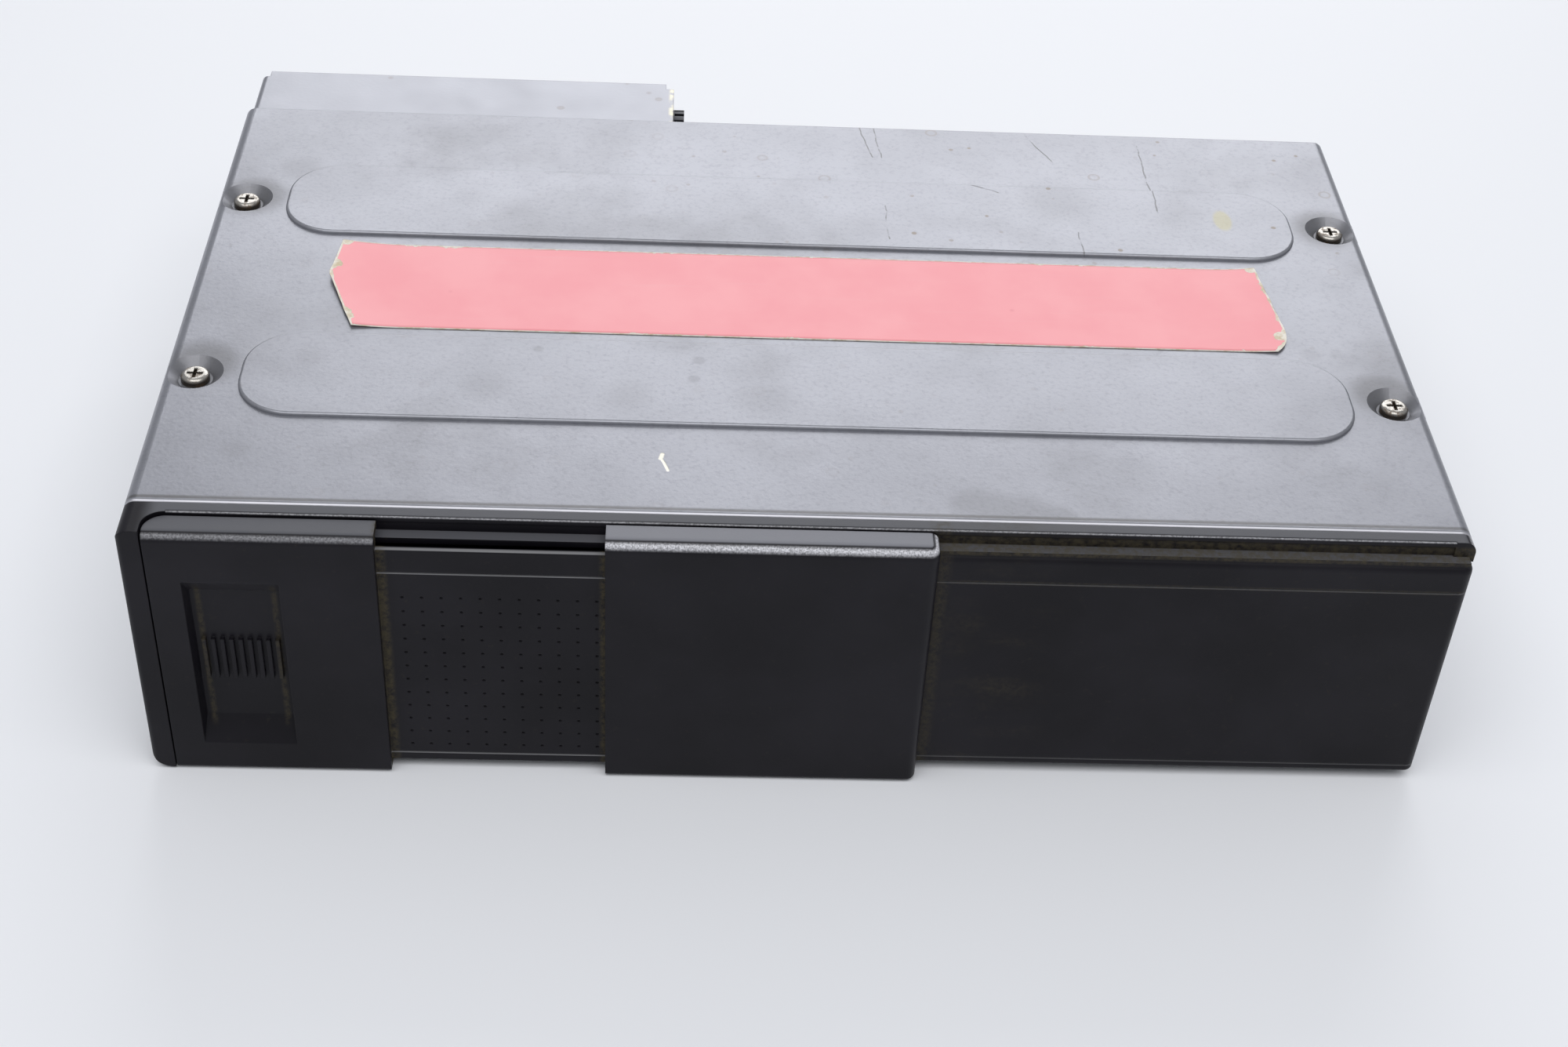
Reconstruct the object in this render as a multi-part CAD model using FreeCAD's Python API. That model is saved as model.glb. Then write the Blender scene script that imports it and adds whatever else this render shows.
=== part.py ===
"""Six-disc car changer: a magazine of disc trays behind two telescoping doors, beside a drive that
rises and falls to the chosen tray.

X points right, Y back and Z up, in millimetres. Everything is built with Y = 0 on the doors' outer
face and Z = 0 on the base, then moved back to front so that the origin is the middle of the base.
"""
import FreeCAD, Part
import math
import os

from FreeCAD import Vector

# ---------------------------------------------------------------- driving dimensions: the case
case_width = 257.0
case_height = 62.0              # base to the flat of the top cover
body_depth = 156.2              # door face to the back edge of the top cover
tail_depth = 19.6               # connector housing behind the body
tail_right = -28.0              # its right side
sheet = 1.0                     # steel sheet of the case
cover_clearance = 0.1           # between the cover's sides and the chassis
pad_height = 0.8                # pressed pads under the floor
pad_radius = 8.0
cover_front = 9.0
front_roll = 1.2                # cover's front edge, turned down
skirt_height = 14.0             # top cover's sides, over the chassis
bend_radius = 2.5               # top cover's long edges
rib_width = 28.0
rib_rise = 0.8
rib_corner = 11.5
rib_end_margin = 15.5           # end of a rib to the side of the case
screw_inset = 5.2               # cover screws in from the chassis wall
dish_radius = 5.8
dish_floor_radius = 3.4
dish_depth = 2.0
screw_radius = 1.5
screw_head_radius = 2.9
screw_head_height = 1.7
low_head_height = 1.0           # heads on the sides and back
label_width = 31.4
label_thickness = 0.25
label_curl = 1.2                # how far its ends stand off the cover

# ---------------------------------------------------------------- driving dimensions: fixings and boards
mount_spacing = 55.0            # side mounting holes, along Y
mount_rise = 22.0               # and along Z
mount_bottom = 14.0
mount_hole_radius = 2.0
mount_nut_radius = 4.0
bezel_screw_y = 13.7
bezel_screw_margins = (15.0, 20.0)      # from the base and from the top
dial_radius = 9.0
dial_pin_offset = 6.5
dial_pin_radius = 1.2
spring_radius = 1.1
spring_length = 26.0
board_bottom = 3.0
board_thickness = 1.6
board_side_margin = 28.5
board_end_margins = (31.2, 15.0)
board_screw_inset = 6.0
socket_radius = 8.5
socket_reach = 2.6
damper_radius = 6.5

# ---------------------------------------------------------------- driving dimensions: the front
block_width = 4.5               # bezel's end block beside the grip door
block_corner = 1.2
lip_front = 6.2
lip_thickness = 1.6
recess_back = 6.6
bezel_back = 9.6
rail_front = 4.3
rail_thickness = 1.4
panel_front = 3.7
panel_thickness = 2.0
panel_bottom = 2.2
panel_corner = 2.0
panel_roll = 1.8                # its top front edge
sill_top = 4.1
door_bottom = 0.5
door_skin = 1.5                 # front plate of each door
door_flange = 1.4               # top and bottom flanges of each door
door_flange_back = 5.8
grip_width = 42.7               # grip door, without its tongue
grip_thickness = 3.3
grip_corner = 4.0               # in plan, where the flange meets the end block
seam = 0.3
tongue_length = 47.0
tongue_front = 1.9
tongue_thickness = 1.0
tongue_bottom = 2.2
shown_tongue = 43.0             # tongue in view between the two doors
middle_width = 63.0
recess_width = 18.2             # finger recess in the grip door, at its face
recess_depth = 2.4
recess_margins = (7.0, 11.4)    # below and above it
rib_count = 9
pit_pitch = 3.7
pit_columns = 11
pit_rows = 12
pit_radius = 0.3
pit_depth = 0.25
door_tab_width = 9.0
door_tab_thickness = 0.8
door_tab_back = 6.2
fascia_front = 6.6
button_width = 8.0
button_height = 12.0
button_front = 5.2
switch_board_thickness = 1.0

# ---------------------------------------------------------------- driving dimensions: discs and magazine
disc_radius = 60.0
disc_thickness = 1.2
disc_bore_radius = 7.5
disc_count = 6
disc_pitch = 4.2                # one disc to the next
tray_length = 123.0             # along X
tray_width = 126.0              # along Y, over the rack teeth
tray_plate = 1.0
tray_rim = 1.3                  # rim above the plate
tray_window_radius = 56.0
tray_slot_half = 20.0
magazine_wall = 2.0
magazine_side_wall = 1.5
magazine_plate = 1.5
tray_clearance = 0.4            # above and below a tray, to the shelves
shelf_reach = 2.6

# ---------------------------------------------------------------- driving dimensions: the floating frame
side_room = 4.6                 # chassis wall to frame, where the springs hang
back_room = 3.5                 # case back to frame
floor_bottom = 8.0
floor_thickness = 1.0
frame_front = 12.0
frame_wall = 1.0
slider_thickness = 1.0
lift_pin_spacing = 50.0
pin_radius = 1.5
pin_drop = 10.0                 # pins below the disc plane
chuck_lift = 1.5                # deck's rise above a tray's level
travel_slack = 0.6              # slots run this much past the travel
eject_pin_radius = 1.2
eject_lever_z = (30.0, 33.0)
eject_arm = 40.0
flex_width = 14.0

# ---------------------------------------------------------------- driving dimensions: the drive
deck_top_drop = 6.5             # deck's top face below the disc plane
deck_thickness = 1.0
ear_height = 5.5
turntable_radius = 15.0
turntable_drop = 1.6            # its rim below the disc plane
hub_radius = 7.3
hub_drop = 0.3
spindle_radius = 1.0
spindle_motor_radius = 12.0
spindle_motor_height = 6.5
clamper_radius = 14.0
clamper_lift = 2.0              # its underside above the disc plane
clamp_pivot_rise = 4.9
clamp_arm_half = 15.5
sled_angle = 45.0               # direction of the pickup's travel
sled_inner = 24.0               # lens to spindle, innermost
rod_offset = 13.0
rod_radius = 1.5
rod_drop = 10.5
lens_top_drop = 3.2

# ---------------------------------------------------------------- gears and clearances
pressure_angle = 25.0
addendum = 0.8                  # in modules
dedendum = 1.05
backlash = 0.12
tray_module = 0.8
tray_gear_teeth = 12
tray_pinion_teeth = 10
tray_pinion_direction = 10.0
lift_rack_module = 0.8
lift_small_teeth = 14
lift_module = 0.6
lift_large_teeth = 40
lift_pinion_teeth = 12
sled_module = 0.5
sled_gear_teeth = 24
sled_pinion_teeth = 12
gap = 0.3                       # between neighbouring pieces that slide
shaft_gap = 0.05                # radial, shaft in bore

# ---------------------------------------------------------------- derived places: the case
half_width = case_width / 2
total_depth = body_depth + tail_depth
cover_underside = case_height - sheet
chassis_half = half_width - sheet - cover_clearance
floor_top = pad_height + sheet
wall_top = cover_underside - dish_depth
rear_panel_back = body_depth - sheet
rib_half_length = half_width - rib_end_margin
rib_rows = (50.2, body_depth - 40.0)    # Y of each pressed rib and of the screws beside it
cover_screw_x = chassis_half - screw_inset
label_left = -rib_half_length + 13.0
label_right = rib_half_length - 9.0
label_front = (rib_rows[0] + rib_rows[1]) / 2 - 16.0
label_back = label_front + label_width
pad_x = half_width - 20.5
pad_rows = (25.2, body_depth - 17.0)
mount_rows = (body_depth / 2 - mount_spacing / 2, body_depth / 2 + mount_spacing / 2)
mount_levels = (mount_bottom, mount_bottom + mount_rise)
bezel_screw_levels = (bezel_screw_margins[0], case_height - bezel_screw_margins[1])
dial_y = body_depth - 30.0
dial_z = case_height - skirt_height - dial_radius - 1.0
spring_rows = (36.2, dial_y)
spring_x = chassis_half - 3.2
spring_top_z = case_height - 16.0
spring_bottom_z = spring_top_z - spring_length
board_half_length = half_width - board_side_margin
board_front = board_end_margins[0]
board_back = body_depth - board_end_margins[1]
board_screw_x = board_half_length - board_screw_inset
board_screw_places = [(x, y) for y in (board_front + board_screw_inset, board_back - board_screw_inset)
                      for x in (-board_screw_x, board_screw_x)]
tail_left = -chassis_half
rear_screw_places = ((tail_left + 9.4, cover_underside - 5.0), (tail_right - 22.0, cover_underside - 5.0),
                     (10.0, 4.6), (half_width - 16.5, 4.6))
socket_y = body_depth + 8.8
socket_z = case_height - 12.0

# ---------------------------------------------------------------- derived places: the front
lip_top = case_height - 0.1
lip_bottom = lip_top - lip_thickness
grip_top = case_height - 0.8
middle_top = case_height - 0.5
rail_top = case_height - 3.6
rail_bottom = rail_top - rail_thickness
panel_top = case_height - 4.3
tongue_top = case_height - 4.5
door_tab_z = (rail_top + 0.35, rail_top + 0.35 + door_tab_thickness)
grip_left = -half_width + block_width + seam
grip_right = grip_left + grip_width
tongue_right = grip_right + tongue_length
middle_left = grip_right + shown_tongue
middle_right = middle_left + middle_width
panel_left = middle_right - 5.0
recess_x = (grip_left + 6.2, grip_left + 6.2 + recess_width)
recess_z = (door_bottom + recess_margins[0], grip_top - recess_margins[1])
fascia_x = (middle_right - 16.5, middle_right + 2.0)
button_x = (fascia_x[0] + 1.5, fascia_x[0] + 1.5 + button_width)
button_z = (case_height / 2 - 7.0, case_height / 2 - 7.0 + button_height)
button_middle = (sum(button_x) / 2, sum(button_z) / 2)
switch_front = bezel_back + 2.9
switch_board_y = (switch_front + 1.7, switch_front + 1.7 + switch_board_thickness)
switch_posts = ((button_x[0] + 0.6, button_z[0] - 2.5), (button_x[0] + 0.6, button_z[1] + 2.5))     # X and Z

# ---------------------------------------------------------------- derived places: the mechanism
frame_half_width = chassis_half - side_room
frame_back = body_depth - back_room
deck_floor = floor_bottom + floor_thickness
top_disc_z = case_height - 14.0         # underside of the top disc
low_disc_z = top_disc_z - (disc_count - 1) * disc_pitch
lift_drop = top_disc_z - low_disc_z
shelf_thickness = disc_pitch - tray_plate - tray_rim - 2 * tray_clearance
stored_x = -frame_half_width + 64.8     # disc centre in the magazine
play_x = frame_half_width - 65.8        # disc centre on the turntable
disc_y = frame_back - 73.5
tray_front = disc_y - tray_width / 2
tray_back = disc_y + tray_width / 2
tray_left = stored_x - tray_length / 2
tray_pitch_y = tray_back - addendum * tray_module
magazine_bottom = low_disc_z - tray_plate - gap - magazine_plate
magazine_right = tray_left + tray_length + 1.0
magazine_notch_x = magazine_right - 11.5        # its back right corner is cut away for the tray gear
tray_gear_x = magazine_right - 5.0
tray_gear_y = tray_pitch_y + tray_gear_teeth * tray_module / 2
frame_wall_top = top_disc_z - 4.0
side_wall_top = top_disc_z - 8.0
slider_front = frame_front + frame_wall + 0.8   # outer face of the lift slider's front wall
slider_back = frame_back - 8.1                  # outer face of its back wall
slider_wall_top = top_disc_z - 5.0
lift_pins_x = (play_x - 13.0, play_x - 13.0 + lift_pin_spacing)
lift_pin_z = top_disc_z - pin_drop
lift_gear_x = magazine_right - 29.5
lift_rack_y = 32.6              # pitch line of the slider's rack
lift_small_radius = lift_small_teeth * lift_rack_module / 2
lift_gear_y = lift_rack_y + lift_small_radius
lift_pinion_x = lift_gear_x - (lift_large_teeth + lift_pinion_teeth) * lift_module / 2
eject_pivot_x = stored_x - 2.0
eject_pivot_y = frame_back - 3.9
flex_x = frame_half_width - 1.9
flex_y = (disc_y - 24.0, disc_y - 24.0 + flex_width)
damper_x = frame_half_width - 10.8
damper_places = [(x, y) for y in (pad_rows[0], pad_rows[1] - 6.0) for x in (-damper_x, damper_x)]

# ---------------------------------------------------------------- derived places: the drive
deck_left = magazine_right + 4.5
deck_right = frame_half_width - 2.6
deck_front = slider_front + 1.8
deck_back = slider_back - 1.8
deck_top = top_disc_z - deck_top_drop
deck_underside = deck_top - deck_thickness
rod_z = top_disc_z - rod_drop
clamp_pivot_x = deck_right - 0.3
clamp_lug_rows = (disc_y - clamp_arm_half - 2.5, disc_y + clamp_arm_half + 1.0)
tray_pinion_distance = (tray_gear_teeth + tray_pinion_teeth) * tray_module / 2
tray_pinion_x = tray_gear_x + tray_pinion_distance * math.cos(math.radians(tray_pinion_direction))
tray_pinion_y = tray_gear_y + tray_pinion_distance * math.sin(math.radians(tray_pinion_direction))


# ---------------------------------------------------------------- helpers
def block(x0, x1, y0, y1, z0, z1):
    """Rectangular block between two corners."""
    return Part.makeBox(x1 - x0, y1 - y0, z1 - z0, Vector(x0, y0, z0))


def rod(radius, length, start, axis):
    """Cylinder from a start point along an axis."""
    return Part.makeCylinder(radius, length, Vector(*start), Vector(*axis))


def upright(radius, x, y, z0, z1):
    """Cylinder along Z."""
    return rod(radius, z1 - z0, (x, y, z0), (0, 0, 1))


def cone(low_radius, high_radius, x, y, z0, z1):
    """Cone frustum along Z."""
    return Part.makeCone(low_radius, high_radius, z1 - z0, Vector(x, y, z0), Vector(0, 0, 1))


def prism(points, height, direction):
    """Closed polygon pushed along a direction."""
    wire = Part.makePolygon([Vector(*p) for p in points] + [Vector(*points[0])])
    return Part.Face(wire).extrude(Vector(*direction) * height)


def rounded_plate(x0, x1, y0, y1, z0, z1, radius):
    """Plate with rounded upright corners."""
    plate = block(x0, x1, y0, y1, z0, z1)
    upright_edges = [e for e in plate.Edges if abs(e.tangentAt(e.FirstParameter).z) > 0.9]
    return plate.makeFillet(radius, upright_edges)


def round_edges(shape, radius, chosen):
    """Fillet on each edge whose middle passes a test."""
    edges = [e for e in shape.Edges if chosen(e.CenterOfMass)]
    return shape.makeFillet(radius, edges)


def fused(shapes):
    """One solid from overlapping shapes."""
    whole = shapes[0].fuse(shapes[1:]) if len(shapes) > 1 else shapes[0]
    return whole.removeSplitter()


def cut(shape, tools):
    """Shape less each tool."""
    return shape.cut(Part.makeCompound(tools))


def group(shapes):
    """Separate solids kept in one part."""
    return Part.makeCompound(shapes)


def export(name, shape):
    """Move a part to the row frame and write it."""
    moved = shape.copy()
    moved.translate(Vector(0, -total_depth / 2, 0))
    moved.exportStep(os.path.join("parts", name + ".step"))


def involute(angle):
    """Involute function, in radians."""
    return math.tan(angle) - angle


def gear(teeth, module, z0, z1, bore, phase=0.0):
    """Spur gear on the Z axis, with one tooth centred on the phase angle in degrees."""
    alpha = math.radians(pressure_angle)
    pitch_radius = teeth * module / 2
    base_radius = pitch_radius * math.cos(alpha)
    tip_radius = pitch_radius + addendum * module
    root_radius = pitch_radius - dedendum * module
    half_at_pitch = math.pi / (2 * teeth) - backlash / 4 / pitch_radius
    first_radius = max(base_radius, root_radius)
    radii = [first_radius + (tip_radius - first_radius) * step / 3 for step in range(4)]
    half_angles = []
    for radius in radii:
        flank = math.acos(min(1.0, base_radius / radius))
        half_angles.append(half_at_pitch + involute(alpha) - involute(flank))
    outline = []
    for tooth in range(teeth):
        middle = math.radians(phase) + 2 * math.pi * tooth / teeth
        left = [(root_radius, middle - half_angles[0])] if root_radius < base_radius else []
        left += [(r, middle - a) for r, a in zip(radii, half_angles)]
        right = [(r, middle + a) for r, a in zip(reversed(radii), reversed(half_angles))]
        right += [(root_radius, middle + half_angles[0])] if root_radius < base_radius else []
        outline += [(r * math.cos(a), r * math.sin(a), z0) for r, a in left + right]
    wheel = prism(outline, z1 - z0, (0, 0, 1))
    return wheel.cut(upright(bore, 0, 0, z0 - 1, z1 + 1)) if bore else wheel


def mesh_phase(phase, teeth, other_teeth, direction):
    """Phase of a gear that meshes with one of known phase, lying in a direction from it."""
    offset = phase - direction
    return direction + 180.0 - offset * teeth / other_teeth + 180.0 / other_teeth


def rack_teeth(x0, x1, gap_x, pitch_y, module, z0, z1):
    """Rack teeth along X that point to +Y, with a gap centred on gap_x."""
    alpha = math.radians(pressure_angle)
    pitch = math.pi * module
    root_y = pitch_y - dedendum * module
    tip_y = pitch_y + addendum * module
    half = pitch / 4 - backlash / 4
    half_root = half + dedendum * module * math.tan(alpha)
    half_tip = half - addendum * module * math.tan(alpha)
    first = math.ceil((x0 + half_root - gap_x) / pitch - 0.5)
    last = math.floor((x1 - half_root - gap_x) / pitch - 0.5)
    points = [(x0, root_y - module, z0), (x0, root_y, z0)]
    for index in range(first, last + 1):
        middle = gap_x + (index + 0.5) * pitch
        points += [(middle - half_root, root_y, z0), (middle - half_tip, tip_y, z0)]
        points += [(middle + half_tip, tip_y, z0), (middle + half_root, root_y, z0)]
    points += [(x1, root_y, z0), (x1, root_y - module, z0)]
    return prism(points, z1 - z0, (0, 0, 1))


def cross_screw(x, y, seat_z, shank_length, head_height):
    """Cross-recess screw with its head above a seat, pointing down."""
    top = seat_z + head_height
    head = upright(screw_head_radius, x, y, seat_z, top)
    head = round_edges(head, head_height * 0.55, lambda c: c.z > top - 0.01)
    shank = upright(screw_radius, x, y, seat_z - shank_length, seat_z + 0.1)
    recess = head_height * 0.6
    slots = []
    for half_x, half_y in ((1.6, 0.35), (0.35, 1.6)):
        slots.append(block(x - half_x, x + half_x, y - half_y, y + half_y, top - recess, top + 0.1))
    return cut(fused([head, shank]), slots)


def turned(shape, axis, angle, centre=(0, 0, 0)):
    """Copy turned about an axis through a point."""
    copy = shape.copy()
    copy.rotate(Vector(*centre), Vector(*axis), angle)
    return copy


def moved(shape, x=0.0, y=0.0, z=0.0):
    """Copy moved by an offset."""
    copy = shape.copy()
    copy.translate(Vector(x, y, z))
    return copy


# ---------------------------------------------------------------- case
def make_top_cover():
    """Pressed lid: two raised ribs, four screw dishes, side skirts and a back flange."""
    skirt_bottom = case_height - skirt_height
    outer = block(-half_width, half_width, cover_front, body_depth, skirt_bottom, case_height)
    outer = round_edges(outer, bend_radius,
                        lambda c: c.z > case_height - 0.01 and abs(c.x) > half_width - 0.01)
    inner_half = half_width - sheet
    inner = block(-inner_half, inner_half, 0, body_depth + 5, skirt_bottom - 5, cover_underside)
    inner = round_edges(inner, bend_radius - sheet,
                        lambda c: c.z > cover_underside - 0.01 and abs(c.x) > inner_half - 0.01)
    cover = outer.cut(inner)
    inside_top = cover_underside + 0.1
    roll = block(-half_width + 6, half_width - 6, cover_front, cover_front + sheet,
                 cover_underside - front_roll, inside_top)
    flange = block(tail_right + 3, inner_half - 1.5, rear_panel_back, body_depth, case_height - 8, inside_top)
    cover = fused([cover, roll, flange])
    cover = round_edges(cover, 0.8 * sheet, lambda c: c.z > case_height - 0.01
                        and (c.y < cover_front + 0.01 or c.y > body_depth - 0.01))
    for row in rib_rows:
        y0, y1 = row - rib_width / 2, row + rib_width / 2
        pad = rounded_plate(-rib_half_length, rib_half_length, y0, y1, case_height - 0.5,
                            case_height + rib_rise, rib_corner)
        pad = round_edges(pad, 0.6, lambda c: c.z > case_height + rib_rise - 0.01)
        hollow = rounded_plate(-rib_half_length + sheet, rib_half_length - sheet, y0 + sheet, y1 - sheet,
                               cover_underside - 0.5, cover_underside + rib_rise, rib_corner - sheet)
        cover = fused([cover, pad]).cut(hollow)
    bosses = []
    dishes = []
    kept_half = half_width - sheet / 2
    for row in rib_rows:
        for side in (-1, 1):
            x = side * cover_screw_x
            boss = cone(dish_floor_radius + sheet, dish_radius + sheet, x, row, wall_top,
                        cover_underside + 0.2)
            dish = cone(dish_floor_radius, dish_radius + 0.9, x, row, wall_top + sheet,
                        case_height + rib_rise)
            boss = turned(boss, (0, 0, 1), 90, (x, row, 0))     # seams clear of the cover's long bends
            dish = turned(dish, (0, 0, 1), 90, (x, row, 0))
            bosses.append(boss.common(block(-kept_half, kept_half, 0, body_depth, 0, case_height)))
            dishes.append(dish)
            dishes.append(upright(screw_radius + 0.25, x, row, wall_top - 1, case_height))
    return cut(fused([cover] + bosses), dishes)


def make_bottom_chassis():
    """Floor with side walls, pressed pads, screw tabs, spring hooks and the side mounting nuts."""
    outer = block(-chassis_half, chassis_half, bezel_back, rear_panel_back, pad_height, wall_top)
    outer = round_edges(outer, 1.5, lambda c: c.z < pad_height + 0.01 and abs(c.x) > chassis_half - 0.01)
    inner = block(-chassis_half + sheet, chassis_half - sheet, 0, body_depth + 5, floor_top, case_height)
    chassis = outer.cut(inner)
    additions = []
    removals = []
    for x in (-pad_x, pad_x):
        for y in pad_rows:
            additions.append(cone(pad_radius, pad_radius + 1.5, x, y, 0, pad_height + 0.2))
            removals.append(upright(pad_radius - 1.0, x, y, pad_height + 0.2, floor_top + 0.1))
    for side in (-1, 1):
        inside = side * (chassis_half - sheet)
        for row in rib_rows:
            tab = block(min(inside, inside - side * 10), max(inside, inside - side * 10), row - 8, row + 8,
                        wall_top - sheet, wall_top)
            additions.append(tab)
            removals.append(upright(screw_radius + 0.05, side * cover_screw_x, row, wall_top - 3,
                                    wall_top + 1))
        hook_y, hook_z = spring_rows[0], spring_top_z
        additions.append(block(min(inside, inside - side * 3.0), max(inside, inside - side * 3.0),
                               hook_y - 2.5, hook_y + 2.5, hook_z, hook_z + 1.0))
        for y in mount_rows:
            for z in mount_levels:
                nut = rod(mount_nut_radius, 1.8, (inside, y, z), (-side, 0, 0))
                additions.append(nut)
                removals.append(rod(mount_hole_radius, 6, (side * (chassis_half + 1), y, z), (-side, 0, 0)))
        for z in bezel_screw_levels:
            removals.append(rod(screw_radius + 0.05, 3, (side * (chassis_half + 1), bezel_screw_y, z),
                                (-side, 0, 0)))
        removals.append(rod(dial_radius + shaft_gap, 3, (side * (chassis_half + 1), dial_y, dial_z),
                            (-side, 0, 0)))
    for x, y in board_screw_places:
        additions.append(upright(2.8, x, y, floor_top - 0.2, board_bottom))
        removals.append(upright(screw_radius + 0.05, x, y, pad_height - 1, board_bottom + 1))
    for x in (-40.0, 40.0):
        removals.append(rounded_plate(x - 18, x + 18, 46, body_depth - 31, pad_height - 0.1,
                                      pad_height + 0.35, 8))
    chassis = fused([chassis] + additions)
    return cut(chassis, removals)


def make_rear_panel():
    """Back wall with turned edges, the opening to the connector housing and its screw holes."""
    edge = chassis_half - sheet - 0.1
    panel = block(-edge, edge, rear_panel_back - sheet, rear_panel_back, floor_top, cover_underside - 0.1)
    returns = [block(-edge, edge, rear_panel_back - 7, rear_panel_back, floor_top, floor_top + sheet)]
    window = rounded_plate(0, 80, 0, 36, -5, 5, 4)
    window = moved(turned(window, (1, 0, 0), 90), tail_right - 94, rear_panel_back, 13)
    removals = [window]
    stiffener = rounded_plate(0, half_width - 10.5, 0, 30, 0, 1.0, 6)
    stiffener = moved(turned(stiffener, (1, 0, 0), 90), 0, rear_panel_back + 0.5, 15)
    removals.append(stiffener)
    for x, z in rear_screw_places:
        removals.append(rod(screw_radius + 0.05, 9, (x, rear_panel_back - 8, z), (0, 1, 0)))
    return cut(fused([panel] + returns), removals)


def make_rear_box():
    """Connector housing: folded sheet box, open to the body, with notched back corners."""
    left, right = tail_left, tail_right
    bottom, top = 3.0, cover_underside
    outer = block(left, right, rear_panel_back, total_depth, bottom, top)
    outer = round_edges(outer, 0.8, lambda c: c.z > top - 0.01 and c.y > total_depth - 0.01)
    outer = round_edges(outer, bend_radius - sheet, lambda c: c.z > top - 0.01 and c.x < left + 0.01)
    inner = block(left + sheet, right - sheet, 0, total_depth - sheet, bottom + sheet, top - sheet)
    box = outer.cut(inner)
    notches = []
    for x in (left, right):
        corner = block(x - 1.9, x + 1.9, total_depth - 3.0, total_depth + 1, top - 3.2, top + 1)
        notches.append(corner)
    notches.append(rod(socket_radius + 0.1, 4, (right + 1, socket_y, socket_z), (-1, 0, 0)))
    tabs = []
    for x, z in rear_screw_places[:2]:
        tabs.append(block(x - 5, x + 5, rear_panel_back, rear_panel_back + sheet, z - 5, z + 5))
    box = cut(box, notches)
    holes = [rod(screw_radius + 0.25, 4, (x, rear_panel_back - 1, z), (0, 1, 0))
             for x, z in rear_screw_places[:2]]
    return cut(fused([box] + tabs), holes)


def make_cover_label():
    """Plain sticker on the top cover, its two ends lifting a little."""
    z = case_height
    bend = 26.0
    middle = block(label_left + bend, label_right - bend, label_front, label_back, z, z + label_thickness)
    ends = []
    for x, side, rise in ((label_left, 1, label_curl), (label_right, -1, label_curl * 0.7)):
        inner = x + side * bend
        radius = (bend ** 2 + rise ** 2) / (2 * rise)
        centre = Vector(inner, label_front, z + radius)
        half_turn = math.asin(bend / radius) / 2
        low = [Vector(inner, label_front, z),
               centre + Vector(-side * radius * math.sin(half_turn), 0, -radius * math.cos(half_turn)),
               centre + Vector(-side * radius * math.sin(2 * half_turn), 0,
                               -radius * math.cos(2 * half_turn))]
        high = [p + Vector(0, 0, label_thickness) for p in low]
        edges = [Part.Arc(*low).toShape(), Part.makeLine(low[2], high[2]),
                 Part.Arc(high[2], high[1], high[0]).toShape(), Part.makeLine(high[0], low[0])]
        ends.append(Part.Face(Part.Wire(edges)).extrude(Vector(0, label_back - label_front, 0)))
    return fused([middle] + ends)


def make_socket():
    """Round cable socket with a ribbed collar, through the housing's right side."""
    mouth = tail_right + socket_reach
    back = tail_right - 8.0
    collar = rod(socket_radius, mouth - back, (back, socket_y, socket_z), (1, 0, 0))
    flange = rod(socket_radius + 1.1, 1.2, (tail_right - sheet - 1.2, socket_y, socket_z), (1, 0, 0))
    body = fused([collar, flange])
    removals = [rod(socket_radius - 1.8, mouth - back - 2.0, (back + 2.0, socket_y, socket_z), (1, 0, 0))]
    groove_count = 20
    for index in range(groove_count):
        angle = 360.0 * index / groove_count
        groove = block(tail_right + 0.3, mouth + 1, -0.55, 0.55, socket_radius - 0.7, socket_radius + 1)
        removals.append(moved(turned(groove, (1, 0, 0), angle), 0, socket_y, socket_z))
    pins = []
    for index in range(8):
        angle = math.radians(45 * index)
        place = (back + 1.0, socket_y + 3.6 * math.cos(angle), socket_z + 3.6 * math.sin(angle))
        pins.append(rod(0.5, 4.0, place, (1, 0, 0)))
    removals += [rod(0.5, 4.0, tuple(p.BoundBox.Center + Vector(-2, 0, 0)), (1, 0, 0)) for p in pins]
    return cut(body, removals), group(pins)


def make_screw_groups():
    """The case's screws, by where they go."""
    seat = wall_top + sheet
    cover = [cross_screw(side * cover_screw_x, row, seat, 6.0, screw_head_height)
             for row in rib_rows for side in (-1, 1)]
    side_screw = cross_screw(0, 0, 0, 4.0, low_head_height)
    bezel = []
    for side in (-1, 1):
        for z in bezel_screw_levels:
            bezel.append(moved(turned(side_screw, (0, 1, 0), 90 * side), side * chassis_half, bezel_screw_y,
                               z))
    back_screw = turned(side_screw, (1, 0, 0), -90)
    rear = []
    for index, (x, z) in enumerate(rear_screw_places):
        seat_y = rear_panel_back + (sheet if index < 2 else 0.0)
        rear.append(moved(back_screw, x, seat_y, z))
    board = [cross_screw(x, y, board_bottom + board_thickness, 3.0, low_head_height)
             for x, y in board_screw_places]
    return group(cover), group(bezel), group(rear), group(board)


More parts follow.
